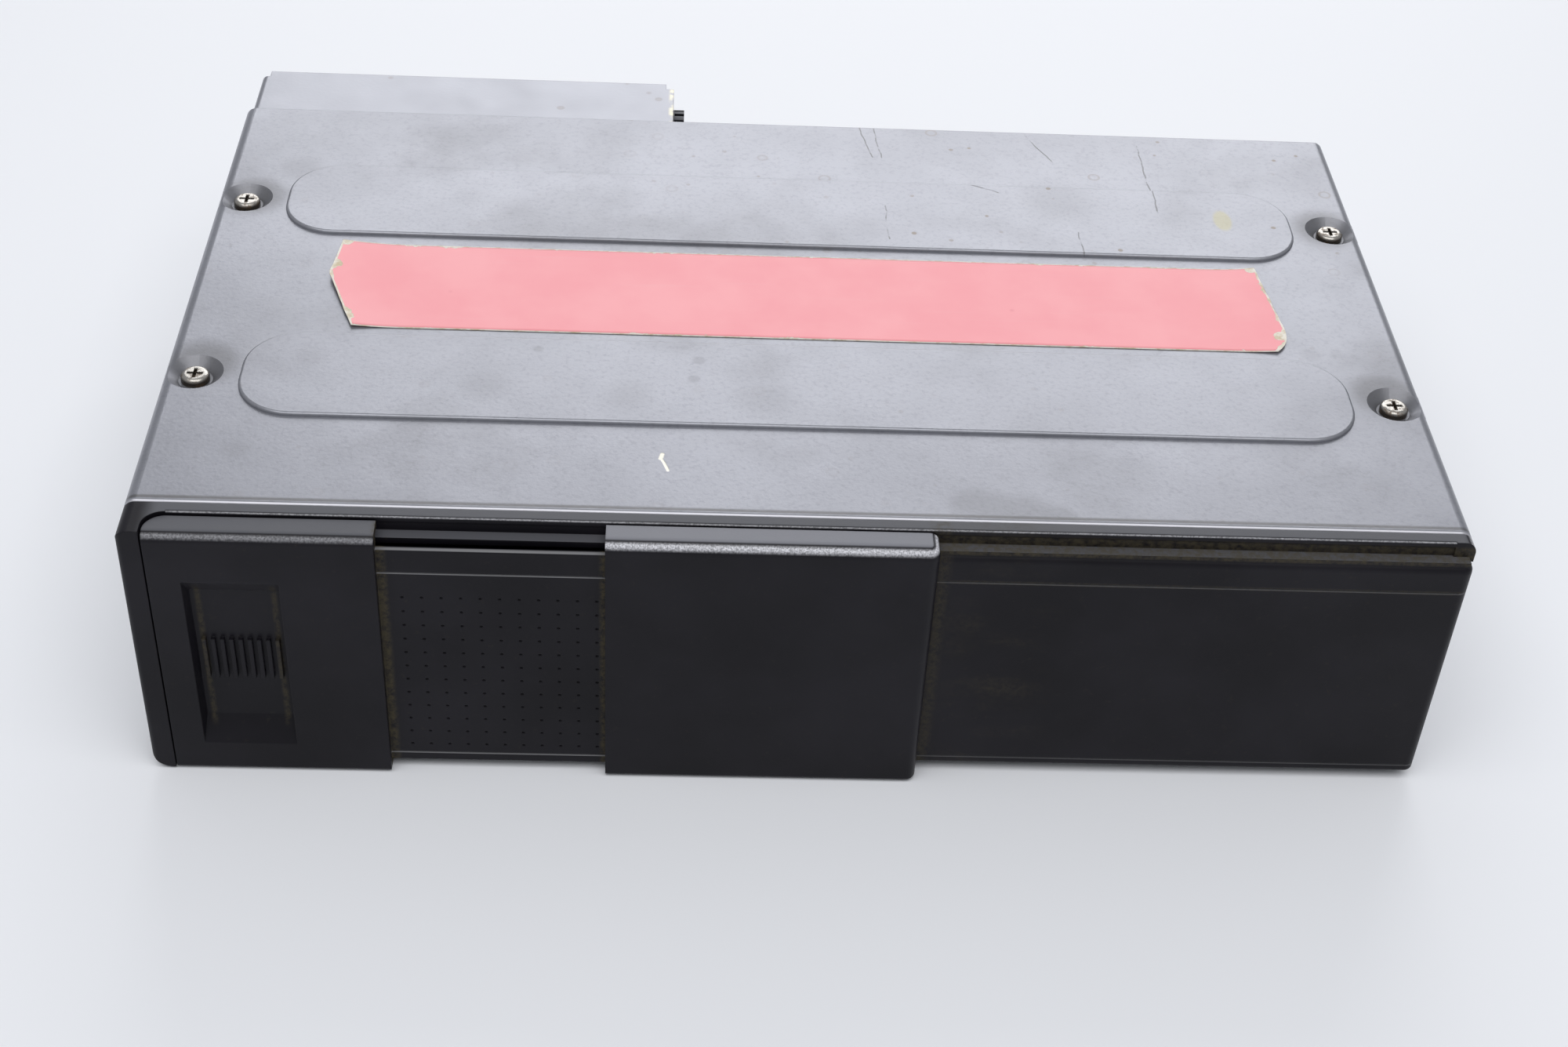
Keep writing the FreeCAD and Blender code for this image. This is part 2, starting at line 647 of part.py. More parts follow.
# ---------------------------------------------------------------- front
def make_front_bezel():
    """Front moulding: lip, door rail, end block, fixed right panel, sill, inner fascia and fixings."""
    block_right = -half_width + block_width
    lip = block(-half_width, half_width, lip_front, cover_front - 0.15, lip_bottom, lip_top)
    lip = round_edges(lip, 0.6, lambda c: c.y < lip_front + 0.01 and abs(c.x) < 1)
    corner_caps = []
    for side in (-1, 1):
        x0, x1 = sorted((side * (half_width - 4.1), side * half_width))
        cap = block(x0, x1, lip_front, cover_front - 0.15, lip_bottom - 3.0, lip_top)
        corner_caps.append(cap)
    end_block = block(-half_width, block_right, 0, cover_front - 0.15, door_bottom, lip_top)
    end_block = round_edges(end_block, block_corner, lambda c: abs(c.x + half_width) < 0.01 and c.y < 0.01)
    recess_wall = block(block_right - 1, half_width - 1.5, recess_back, bezel_back, rail_bottom - 0.2,
                        lip_bottom + 0.2)
    rail = block(block_right - 1, half_width - 1.0, rail_front, recess_back + 0.1, rail_bottom, rail_top)
    corner_fill = block(block_right - 0.5, block_right + grip_corner, lip_front - grip_corner,
                        lip_front + 0.5, lip_bottom, lip_top)
    corner_fill = corner_fill.cut(upright(grip_corner, block_right + grip_corner, lip_front - grip_corner,
                                          0, 99))
    panel = block(panel_left, half_width, panel_front, bezel_back, panel_bottom, panel_top)
    panel = round_edges(panel, panel_corner,
                        lambda c: abs(c.x - half_width) < 0.01 and c.y < panel_front + 0.01)
    panel = round_edges(panel, panel_roll, lambda c: c.z > panel_top - 0.01 and c.y < bezel_back - 0.5)
    panel = round_edges(panel, 0.8, lambda c: c.z < panel_bottom + 0.01 and c.y < bezel_back - 0.5
                        and c.x > panel_left + 0.1)
    hollow = block(fascia_x[1] + 1, half_width - panel_thickness, panel_front + panel_thickness,
                   bezel_back + 1, sill_top, panel_top - panel_thickness)
    sill = block(block_right - 1, panel_left + 1, rail_front, bezel_back, panel_bottom, sill_top)
    fascia = block(fascia_x[0], fascia_x[1] + 1, fascia_front, bezel_back, sill_top - 0.1, rail_bottom + 0.1)
    groove_z = (panel_top - 6.5, sill_top + 0.1)
    grooves = [block(panel_left - 1, half_width - panel_corner, panel_front - 0.3, panel_front + 0.18,
                     z - 0.15, z + 0.15) for z in groove_z]
    button_hole = block(button_x[0] - gap, button_x[1] + gap, 0, bezel_back + 1, button_z[0] - gap,
                        button_z[1] + gap)
    inside = chassis_half - sheet - 0.1
    roll_bottom = cover_underside - front_roll
    roll_back = cover_front + sheet
    top_tongue = block(-inside + 8, inside - 8, roll_back + gap, bezel_back + 6.6, roll_bottom - gap - 0.2,
                       cover_underside - 0.15)
    web = block(-inside + 8, inside - 8, cover_front - 0.5, roll_back + 2.0, roll_bottom - gap - 1.6,
                roll_bottom - gap)
    roll_space = block(-half_width, half_width, cover_front - 0.15, roll_back + gap, roll_bottom - gap,
                       case_height + 1)
    side_tongues = []
    for side in (-1, 1):
        x0, x1 = sorted((side * (inside - 1.9), side * inside))
        side_tongues.append(block(x0, x1, cover_front - 0.5, bezel_back + 8.1, 6.0, case_height - 6.0))
    posts = [upright_post(x, z) for x, z in switch_posts]
    solid = fused([lip, end_block, recess_wall, rail, corner_fill, panel.cut(hollow), sill, fascia,
                   top_tongue, web] + corner_caps + side_tongues + posts)
    round_tool = rod(4.0, cover_front + 2, (-half_width + 4.0, -1, door_bottom + 4.0), (0, 1, 0))
    corner_tool = block(-half_width - 1, -half_width + 4.0, -1, cover_front + 1, door_bottom - 1,
                        door_bottom + 4.0).cut(round_tool)
    removals = grooves + [button_hole, corner_tool, roll_space]
    for side in (-1, 1):
        for z in bezel_screw_levels:
            removals.append(rod(screw_radius, 5, (side * (inside + 1), bezel_screw_y, z), (-side, 0, 0)))
        edge = side * (half_width - bend_radius)
        top_round = rod(bend_radius, cover_front + 2, (edge, -1, lip_top - bend_radius), (0, 1, 0))
        x0, x1 = sorted((edge, side * (half_width + 1)))
        removals.append(block(x0, x1, -1, cover_front + 1, lip_top - bend_radius, lip_top + 1).cut(top_round))
        x2, x3 = sorted((side * (half_width - sheet - 0.15), side * (half_width + 1)))
        removals.append(block(x2, x3, cover_front - 0.15, bezel_back + 1, 0, case_height))
    return cut(solid, removals)


def upright_post(x, z):
    """Post on the fascia's back that carries the switch board."""
    return rod(1.3, switch_board_y[0] - bezel_back + 0.2, (x, bezel_back - 0.2, z), (0, 1, 0))


def make_grip_door():
    """Outer door: grip with a finger recess, and a pitted tongue that slides behind the middle cover."""
    left = grip_left
    plate = block(left, grip_right, 0, grip_thickness, door_bottom, grip_top)
    top_flange = block(left, grip_right, 0, door_flange_back, grip_top - door_flange, grip_top)
    bottom_flange = block(left, grip_right, 0, door_flange_back, door_bottom, door_bottom + door_flange)
    grip = fused([plate, top_flange, bottom_flange])
    grip = round_edges(grip, 2.0, lambda c: c.y < 0.01 and c.z > grip_top - 0.01)
    grip = round_edges(grip, 0.6, lambda c: c.y < 0.01 and c.z < door_bottom + 0.01)
    plan_corner = block(left - 1, left + grip_corner, door_flange_back - grip_corner, door_flange_back + 1,
                        door_bottom - 1, grip_top + 1)
    plan_corner = plan_corner.cut(upright(grip_corner, left + grip_corner, door_flange_back - grip_corner,
                                          -5, 99))
    grip = grip.cut(plan_corner)
    floor_x = (recess_x[0] + 0.8, recess_x[1] - 0.3)
    floor_z = (recess_z[0] + 6.0, recess_z[1] - 3.8)
    front = [(recess_x[0], 0, recess_z[0]), (recess_x[1], 0, recess_z[0]),
             (recess_x[1], 0, recess_z[1]), (recess_x[0], 0, recess_z[1])]
    back = [(floor_x[0], recess_depth, floor_z[0]), (floor_x[1], recess_depth, floor_z[0]),
            (floor_x[1], recess_depth, floor_z[1]), (floor_x[0], recess_depth, floor_z[1])]
    wires = [Part.makePolygon([Vector(*p) for p in ring + ring[:1]]) for ring in (front, back)]
    recess = Part.makeLoft(wires, True, True)
    grip = grip.cut(recess)
    ribs = []
    rib_pitch = (floor_x[1] - floor_x[0] - 3.0) / (rib_count - 1)
    for index in range(rib_count):
        x = floor_x[0] + 1.5 + index * rib_pitch
        ribs.append(block(x - 0.4, x + 0.4, recess_depth - 0.9, recess_depth + 0.2, recess_z[0] + 16.5,
                          recess_z[0] + 26.5))
    tongue = block(grip_right - 5, tongue_right, tongue_front, tongue_front + tongue_thickness,
                   tongue_bottom, tongue_top)
    tongue = round_edges(tongue, 0.5, lambda c: c.y < tongue_front + 0.01 and c.z > tongue_top - 0.01)
    pits = []
    for row in range(pit_rows):
        for column in range(pit_columns):
            x = grip_right + 4.4 + column * pit_pitch
            z = 6.6 + row * pit_pitch * 0.96
            pits.append(rod(pit_radius, pit_depth + 1, (x, tongue_front - 1, z), (0, 1, 0)))
    lines = [block(grip_right + 0.5, tongue_right + 1, tongue_front - 1, tongue_front + 0.2, z - 0.15,
                   z + 0.15) for z in (tongue_top - 5.7, tongue_bottom + 2.0)]
    tongue = cut(tongue, pits + lines)
    tabs = [block(x, x + door_tab_width, tongue_front, door_tab_back, door_tab_z[0], door_tab_z[1])
            for x in (left + 3.5, grip_right - door_tab_width - 3.5)]
    return fused([grip, tongue] + ribs + tabs)


def make_centre_cover():
    """Middle door: channel that slides over the tongue and the fixed panel."""
    outer = block(middle_left, middle_right, 0, door_flange_back, door_bottom, middle_top)
    outer = round_edges(outer, 2.4, lambda c: c.y < 0.01 and c.z > middle_top - 0.01)
    outer = round_edges(outer, 2.0, lambda c: c.x > middle_right - 0.01 and c.y < 0.5 and 5 < c.z < 55)
    outer = round_edges(outer, 0.6, lambda c: c.y < 0.01 and c.z < door_bottom + 0.01)
    inner = block(middle_left - 1, middle_right - 1.8, door_skin, door_flange_back + 1,
                  door_bottom + door_flange, middle_top - door_flange)
    clear = block(middle_right - 2.5, middle_right + 1, panel_front - gap, door_flange_back + 1,
                  door_bottom + door_flange, middle_top - door_flange)
    cover = cut(outer, [inner, clear])
    tabs = [block(x, x + door_tab_width, door_skin - 0.2, door_tab_back, door_tab_z[0], door_tab_z[1])
            for x in (middle_left + 2.0, middle_right - door_tab_width - 3.0)]
    return fused([cover] + tabs)


def make_eject_button():
    """Square push button with a flange behind the fascia."""
    cap = block(button_x[0], button_x[1], button_front, bezel_back + 0.8, button_z[0], button_z[1])
    cap = round_edges(cap, 0.7, lambda c: c.y < button_front + 0.01)
    flange = block(button_x[0] - 0.8, button_x[1] + 0.4, bezel_back + gap, bezel_back + gap + 0.8,
                   button_z[0] - 0.8, button_z[1] + 0.8)
    stem = rod(1.2, 1.0, (button_middle[0], bezel_back + gap + 0.5, button_middle[1]), (0, 1, 0))
    return fused([cap, flange, stem])


def make_switch_parts():
    """Push switch and the small board that carries it."""
    middle_x, middle_z = button_middle
    board = block(button_x[0] - 0.8, button_x[1] - 0.2, switch_board_y[0], switch_board_y[1],
                  button_z[0] - 5.0, button_z[1] + 5.0)
    switch = block(middle_x - 3, middle_x + 3, switch_front, switch_board_y[0], middle_z - 3, middle_z + 3)
    return board, switch


# ---------------------------------------------------------------- electronics and suspension
def make_boards():
    """Main board with its chips, capacitors and plugs, and the socket's small board."""
    top = board_bottom + board_thickness
    board = rounded_plate(-board_half_length, board_half_length, board_front, board_back, board_bottom, top,
                          2.0)
    board = cut(board, [upright(screw_radius + 0.1, x, y, 0, 10) for x, y in board_screw_places])
    chips = [block(x - w / 2, x + w / 2, y - d / 2, y + d / 2, top, top + 1.2)
             for x, y, w, d in ((-60, 70, 18, 18), (-20, 95, 14, 20), (30, 70, 12, 12), (62, 104, 14, 10),
                                (-70, 112, 10, 8), (20, 118, 8, 8))]
    capacitors = [upright(3.0, x, y, top, top + 1.4) for x, y in ((-40, 50), (-30, 50), (0, 60), (50, 50),
                                                                  (80, 76))]
    plugs = [block(x - w / 2, x + w / 2, board_back - 9, board_back - 2, top, top + 1.5)
             for x, w in ((-76, 18), (-48, 24), (60, 16))]
    plugs.append(block(board_half_length - 14, board_half_length - 2, flex_y[0] - 2, flex_y[1] + 2, top,
                       top + 1.4))
    back = tail_right - 8.0
    socket_board = block(back - 1.6, back, socket_y - 8.0, socket_y + 8.5, socket_z - 20, socket_z + 8.5)
    holes = [rod(0.6, 4, (back - 2.5, socket_y + 3.6 * math.cos(math.radians(45 * i)),
                          socket_z + 3.6 * math.sin(math.radians(45 * i))), (1, 0, 0)) for i in range(8)]
    return board, group(chips), group(capacitors), group(plugs), cut(socket_board, holes)


def make_dampers():
    """Oil-filled rubber cups between the floor and the floating frame."""
    cups = []
    for x, y in damper_places:
        height = floor_bottom - floor_top
        lower = cone(damper_radius, damper_radius - 1.5, x, y, floor_top, floor_top + height * 0.45)
        upper = cone(damper_radius - 1.5, damper_radius - 0.5, x, y, floor_top + height * 0.45, floor_bottom)
        cups.append(fused([lower, upper]))
    return group(cups)


def make_springs():
    """Side springs: a fixed front pair, and a rear pair hung from the angle dials."""
    dial_top = dial_z + dial_pin_offset - dial_pin_radius
    front = []
    rear = []
    for side in (-1, 1):
        for y, top, store in ((spring_rows[0], spring_top_z, front), (spring_rows[1], dial_top, rear)):
            coil = upright(spring_radius, side * spring_x, y, spring_bottom_z, top)
            store.append(coil.cut(upright(spring_radius - 0.5, side * spring_x, y, spring_bottom_z - 1,
                                          top + 1)))
    return group(front), group(rear)


def make_angle_dial(side):
    """Setting dial in the chassis side, with a slot outside and the spring's pin inside."""
    outer_x = side * (chassis_half + 0.5)
    disc = rod(dial_radius, sheet + 0.5 + 0.1, (outer_x, dial_y, dial_z), (-side, 0, 0))
    inner_x = side * (chassis_half - sheet - 0.1)
    flange = rod(dial_radius + 1.5, 0.7, (inner_x, dial_y, dial_z), (-side, 0, 0))
    pin = rod(dial_pin_radius, 2.6, (inner_x, dial_y, dial_z + dial_pin_offset), (-side, 0, 0))
    slot = block(outer_x - 0.9, outer_x + 0.9, dial_y - 1.0, dial_y + 1.0, dial_z - 6.0, dial_z + 5.0)
    arrow = prism([(outer_x - 0.5 * side, dial_y - 2.2, dial_z + 5.0),
                   (outer_x - 0.5 * side, dial_y + 2.2, dial_z + 5.0),
                   (outer_x - 0.5 * side, dial_y, dial_z + 8.0)], 2.0, (side, 0, 0))
    return cut(fused([disc, flange, pin]), [slot, arrow])


# ---------------------------------------------------------------- floating frame
def make_mechanism_frame():
    """Floating frame: floor, side and end walls, lift slots and the posts that carry levers and gears."""
    floor_plate = block(-frame_half_width, frame_half_width, frame_front, frame_back, floor_bottom,
                        deck_floor)
    walls = []
    for side in (-1, 1):
        x0, x1 = sorted((side * frame_half_width, side * (frame_half_width - 1.0)))
        walls.append(block(x0, x1, frame_front, frame_back, floor_bottom, side_wall_top))
        x2, x3 = sorted((side * (frame_half_width - 0.5), side * (spring_x + spring_radius)))
        for y in spring_rows:
            walls.append(block(x2, x3, y - 2.5, y + 2.5, spring_bottom_z - 1.0, spring_bottom_z))
    wall_left = lift_pins_x[0] - 18.0
    for y0 in (frame_front, slider_back + 0.8):
        walls.append(block(wall_left, frame_half_width, y0, y0 + frame_wall, floor_bottom, frame_wall_top))
    walls.append(block(-frame_half_width, magazine_notch_x - 5.0, frame_back - 1.0, frame_back,
                       floor_bottom, side_wall_top))
    walls.append(upright(1.5, lift_gear_x, lift_gear_y, deck_floor - 0.5, deck_floor + 5.2))
    walls.append(upright(eject_pin_radius, eject_pivot_x, eject_pivot_y, deck_floor - 0.5, 38.0))
    walls.append(upright(2.4, eject_pivot_x, eject_pivot_y, deck_floor - 0.5, eject_lever_z[0] - gap))
    removals = []
    for x in lift_pins_x:
        low = lift_pin_z - lift_drop - travel_slack
        high = lift_pin_z + chuck_lift + travel_slack
        for y in (frame_front, slider_back + 0.8):
            reach = pin_radius + 0.1
            removals.append(block(x - reach, x + reach, y - 0.5, y + 1.5, low - reach, high + reach))
    for x0, x1, y0, y1 in ((stored_x - 42, stored_x - 8, -18, 42), (stored_x + 12, stored_x + 42, -16, 42),
                           (play_x + 3, play_x + 35, -48, -18), (play_x + 3, play_x + 35, 18, 48)):
        removals.append(rounded_plate(x0, x1, disc_y + y0, disc_y + y1, floor_bottom - 1, deck_floor + 1,
                                      6.0))
    removals.append(block(flex_x - 0.9, flex_x + 1.1, flex_y[0] - 1, flex_y[1] + 1, floor_bottom - 1,
                          deck_floor + 1))
    for x, y in damper_places:
        removals.append(upright(1.6, x, y, floor_bottom - 1, deck_floor + 1))
    return cut(fused([floor_plate] + walls), removals)


def make_magazine_rails():
    """Plastic runners under the magazine's two sides."""
    top = magazine_bottom - gap
    left_inner = -frame_half_width + frame_wall
    front, back = tray_front - 1.0, tray_back + 2.0
    left = block(left_inner, left_inner + 11, front, back, deck_floor, top)
    left = left.cut(block(left_inner + 2, left_inner + 9, front + 3, back - 3, deck_floor - 1, top - 2))
    right_edge = magazine_right - 1.5
    right = block(right_edge - 11, right_edge, front, back - 6, deck_floor, top)
    right = right.cut(block(right_edge - 9, right_edge - 2, front + 3, back - 9, deck_floor - 1, top - 2))
    rack_way = block(right_edge - 13, right_edge + 2, lift_rack_y - 6, lift_rack_y + 2, deck_floor - 1,
                     deck_floor + 3.6)
    return group([left, right.cut(rack_way)])


def make_magazine():
    """Magazine base with its shelves, and its lid with the viewing window."""
    bottom = magazine_bottom
    top_plate_z = top_disc_z + tray_rim + 0.4
    left = tray_left - gap - magazine_side_wall
    front = tray_front - gap - magazine_wall
    back = tray_back + gap + magazine_wall
    notch = block(magazine_notch_x, magazine_right + 1, tray_back - 1.8, back + 1, bottom - 1,
                  top_plate_z + 9)
    pieces = [block(left, magazine_right, front, back, bottom, bottom + magazine_plate)]
    pieces[0] = round_edges(pieces[0], 3.0,
                            lambda c: abs(c.x - left) < 0.01 and bottom < c.z < bottom + magazine_plate)
    pieces.append(block(left, left + magazine_side_wall, front + 3, back - 3, bottom, top_plate_z))
    pieces.append(block(left + 3, magazine_right, front, front + magazine_wall, bottom, top_plate_z))
    pieces.append(block(left + 3, magazine_notch_x, back - magazine_wall, back, bottom, top_plate_z))
    for level in range(disc_count - 1):
        shelf_top = top_disc_z - level * disc_pitch - tray_plate - gap
        for y0, y1 in ((front + 1, front + magazine_wall + shelf_reach),
                       (back - magazine_wall - shelf_reach, back - 1)):
            pieces.append(block(left + 1, magazine_notch_x, y0, y1, shelf_top - shelf_thickness, shelf_top))
    corner_posts = [upright(3.0, left + 3.0, y, bottom, top_plate_z) for y in (front + 3.0, back - 3.0)]
    tray_space = block(tray_left - gap, magazine_right + 5, tray_front - gap, tray_back + gap,
                       bottom + magazine_plate, top_plate_z + 1)
    shelves = pieces[4:]
    shell = cut(fused(pieces[:4] + corner_posts), [tray_space, notch])
    base = fused([shell] + [shelf.cut(notch) for shelf in shelves])
    grip = block(stored_x - 32, stored_x + 28, front - 0.6, front + 0.6, bottom + 8, bottom + 18)
    base = base.cut(grip)
    lid = rounded_plate(left, magazine_right, front, back, top_plate_z, top_plate_z + magazine_plate, 3.0)
    window = upright(30.0, stored_x + 12, disc_y, top_plate_z - 1, top_plate_z + 5)
    pocket = rounded_plate(left + 10, left + 34, disc_y - 20, disc_y + 20,
                           top_plate_z + magazine_plate - 0.4, top_plate_z + magazine_plate + 1, 3)
    lid = cut(lid, [notch, window, pocket])
    return base, lid


def make_tray():
    """Top tray: rimmed plate with a window, a slot open to the drive, and a rack on its back edge."""
    z0 = top_disc_z - tray_plate
    z1 = top_disc_z + tray_rim
    right = tray_left + tray_length
    root_y = tray_pitch_y - dedendum * tray_module
    body = block(tray_left, right, tray_front, root_y, z0, z1)
    body = round_edges(body, 5.0, lambda c: c.x < tray_left + 0.01 and z0 < c.z < z1)
    rack = rack_teeth(tray_left + 6, right, tray_gear_x, tray_pitch_y, tray_module, z0, z1)
    pocket = upright(disc_radius + 0.5, stored_x, disc_y, top_disc_z, z1 + 1)
    window = upright(tray_window_radius, stored_x, disc_y, z0 - 1, z1 + 1)
    slot = block(stored_x, right + 1, disc_y - tray_slot_half, disc_y + tray_slot_half, z0 - 1, z1 + 1)
    return cut(fused([body, rack]), [pocket, window, slot])


def make_disc():
    """Disc with its clamping ring step."""
    disc = upright(disc_radius, stored_x, disc_y, top_disc_z, top_disc_z + disc_thickness)
    return disc.cut(upright(disc_bore_radius, stored_x, disc_y, top_disc_z - 1, top_disc_z + 3))


def lower_copies(shape):
    """The same piece at every level under the top one."""
    return group([moved(shape, z=-disc_pitch * level) for level in range(1, disc_count)])


def make_eject_lever():
    """Lever that pushes the magazine forward."""
    z0, z1 = eject_lever_z
    hub = upright(2.6, eject_pivot_x, eject_pivot_y, z0, z1)
    bar = block(eject_pivot_x - eject_arm, eject_pivot_x, eject_pivot_y - 1.5, eject_pivot_y + 1.5, z0, z1)
    nose_y = tray_back + gap + magazine_wall + gap + 2.0
    nose = upright(2.0, eject_pivot_x - eject_arm, nose_y, z0, z1)
    bore = upright(eject_pin_radius + shaft_gap, eject_pivot_x, eject_pivot_y, z0 - 1, z1 + 1)
    return fused([hub, bar, nose]).cut(bore)


def make_eject_spring():
    """Torsion spring over the lever's hub."""
    z0 = eject_lever_z[1] + gap
    ring = upright(eject_pin_radius + 1.3, eject_pivot_x, eject_pivot_y, z0, z0 + 4.0)
    return ring.cut(upright(eject_pin_radius + 0.2, eject_pivot_x, eject_pivot_y, z0 - 1, z0 + 6))


# ---------------------------------------------------------------- lift
def make_lift_slider():
    """Lift slider: two walls with sloping slots, joined under the drive, and a rack to the left."""
    left, right = lift_pins_x[0] - 4.5, lift_pins_x[1] + lift_drop + 5.0
    bottom = deck_floor + gap
    parts = []
    for y0 in (slider_front, slider_back - slider_thickness):
        parts.append(block(left, right, y0, y0 + slider_thickness, bottom, slider_wall_top))
    for x0 in (left, lift_pins_x[1] + 11.0):
        parts.append(block(x0, x0 + 12, slider_front, slider_back, bottom, bottom + 1.0))
    rack_left = lift_gear_x - 9.0
    root_y = lift_rack_y - dedendum * lift_rack_module
    parts.append(block(rack_left, left + 2, root_y - 4.0, root_y, bottom, bottom + 2.5))
    parts.append(rack_teeth(rack_left, lift_gear_x + lift_drop + 9.0, lift_gear_x, lift_rack_y,
                            lift_rack_module, bottom, bottom + 2.5))
    removals = []
    reach = pin_radius + 0.1
    for x in lift_pins_x:
        for y0 in (slider_front, slider_back - slider_thickness):
            removals.append(sloped_slot(x, lift_pin_z, reach, y0))
    for y0 in (slider_front, slider_back - slider_thickness):
        removals.append(block(lift_pins_x[0] + 32, lift_pins_x[1] - 8, y0 - 1, y0 + 2, bottom + 8,
                              slider_wall_top - 5))
    return cut(fused(parts), removals)


def sloped_slot(x, z, reach, y0):
    """45 degree slot for a deck pin, from above its rest place down to the lowest tray's level."""
    low = lift_drop + travel_slack
    high = chuck_lift + travel_slack
    start = Vector(x - high, 0, z + high)
    end = Vector(x + low, 0, z - low)
    along = (end - start).normalize()
    across = Vector(-along.z, 0, along.x)
    corners = [start + across * reach, end + across * reach, end - across * reach, start - across * reach]
    body = prism([(p.x, y0 - 1, p.z) for p in corners], 3.0, (0, 1, 0))
    ends = [rod(reach, 3.0, (p.x, y0 - 1, p.z), (0, 1, 0)) for p in (start, end)]
    return fused([body] + ends)


def make_lift_gears():
    """Double gear on the frame's post, and the motor's pinion with its shaft."""
    bore = 1.5 + shaft_gap
    z0 = deck_floor + gap
    small = gear(lift_small_teeth, lift_rack_module, z0, z0 + 3.0, bore, -90.0)
    large = gear(lift_large_teeth, lift_module, z0 + 2.9, z0 + 4.4, bore, 0.0)
    double = moved(fused([small, large]), lift_gear_x, lift_gear_y)
    phase = mesh_phase(0.0, lift_large_teeth, lift_pinion_teeth, 180.0)
    pinion = gear(lift_pinion_teeth, lift_module, z0 + 2.8, z0 + 4.6, 0, phase)
    shaft = upright(1.0, 0, 0, z0 + 2.8, z0 + 8.0)
    pinion = moved(fused([pinion, shaft]), lift_pinion_x, lift_gear_y)
    return double, pinion


def make_lift_motor():
    """Flat motor over the pinion, and the bracket that holds it down from above."""
    x, y = lift_pinion_x, lift_gear_y
    z0 = deck_floor + gap + 5.0
    can = upright(10.0, x, y, z0, z0 + 7.6)
    can = round_edges(can, 0.8, lambda c: c.z > z0 + 7.5)
    motor = can.cut(upright(1.0 + shaft_gap, x, y, z0 - 1, z0 + 4.2))
    top = z0 + 7.6
    plate = rounded_plate(x - 14, x + 8, y - 8, y + 8, top, top + 1.0, 2.0)
    leg = block(x - 14, x - 13, y - 3.5, y + 8, deck_floor, top + 0.5)
    foot = block(x - 22, x - 13, y - 3.5, y + 8, deck_floor, deck_floor + 1.0)
    return motor, fused([plate, leg, foot])


# ---------------------------------------------------------------- drive
def sled_place(shape):
    """Move a piece from the pickup's frame, whose X is its travel from the spindle, to the drive."""
    return moved(turned(shape, (0, 0, 1), sled_angle), play_x, disc_y, 0)


def make_drive_deck():
    """Deck plate with ears and lift pins, openings, bearing blocks, and the arm for the tray gear."""
    plate = block(deck_left, deck_right, deck_front, deck_back, deck_underside, deck_top)
    ears = [block(deck_left, deck_right, y, y + deck_thickness, deck_top - ear_height, deck_top)
            for y in (deck_front, deck_back - deck_thickness)]
    pins = []
    for x in lift_pins_x:
        pins.append(rod(pin_radius, deck_front - frame_front + 1.2, (x, frame_front - 0.8, lift_pin_z),
                        (0, 1, 0)))
        pins.append(rod(pin_radius, slider_back + 2.8 - deck_back + 0.5, (x, deck_back - 0.5, lift_pin_z),
                        (0, 1, 0)))
    arm = block(tray_gear_x - 5.5, deck_left + 8, tray_back + 0.5, frame_back, deck_underside, deck_top)
    neck = block(deck_left, deck_left + 8, deck_back - 2, frame_back, deck_underside, deck_top)
    post = upright(1.0, tray_gear_x, tray_gear_y, deck_top - 0.5, top_disc_z + 2.2)
    stop = upright(2.0, tray_gear_x, tray_gear_y, deck_top - 0.5, top_disc_z - 1.5)
    lugs = []
    for y in clamp_lug_rows:
        lugs.append(block(clamp_pivot_x - 1.2, clamp_pivot_x + 1.3, y, y + 1.5, deck_underside,
                          top_disc_z + clamp_pivot_rise + 1.5))
    lug_holes = [rod(1.0 + shaft_gap, 4, (clamp_pivot_x, y - 1, top_disc_z + clamp_pivot_rise), (0, 1, 0))
                 for y in clamp_lug_rows]
    blocks = []
    for u0, v in ((12.5, rod_offset), (70.0, rod_offset), (17.2, -rod_offset), (70.0, -rod_offset)):
        bearing = block(u0, u0 + 2.3, v - 3, v + 3, rod_z - 2.6, deck_underside + 0.2)
        bore = rod_radius + (0.02 if v > 0 else shaft_gap)
        blocks.append(sled_place(bearing.cut(rod(bore, 6, (u0 - 1, v, rod_z), (1, 0, 0)))))
    pickup_slot = sled_place(rounded_plate(12.6, 68.0, -11.0, 11.0, deck_underside - 1, deck_top + 1, 2.0))
    motor_slot = sled_place(block(20.5, 38.5, -27.6, -16.6, deck_underside - 1, deck_top + 1))
    gear_slot = sled_place(block(13.9, 16.8, -26.0, -6.2, deck_underside - 1, deck_top + 1))
    removals = [pickup_slot, motor_slot, gear_slot, upright(spindle_radius + 0.6, play_x, disc_y, 0, 99)]
    removals.append(upright(1.0 + 0.3, tray_pinion_x, tray_pinion_y, deck_underside - 1, deck_top + 1))
    removals.append(rounded_plate(play_x - 39, play_x - 17, disc_y - 48, disc_y - 12, deck_underside - 1,
                                  deck_top + 1, 5))
    deck = fused([plate, arm, neck, post, stop] + ears + pins + lugs)
    deck = cut(deck, removals + lug_holes)
    return fused([deck] + blocks)


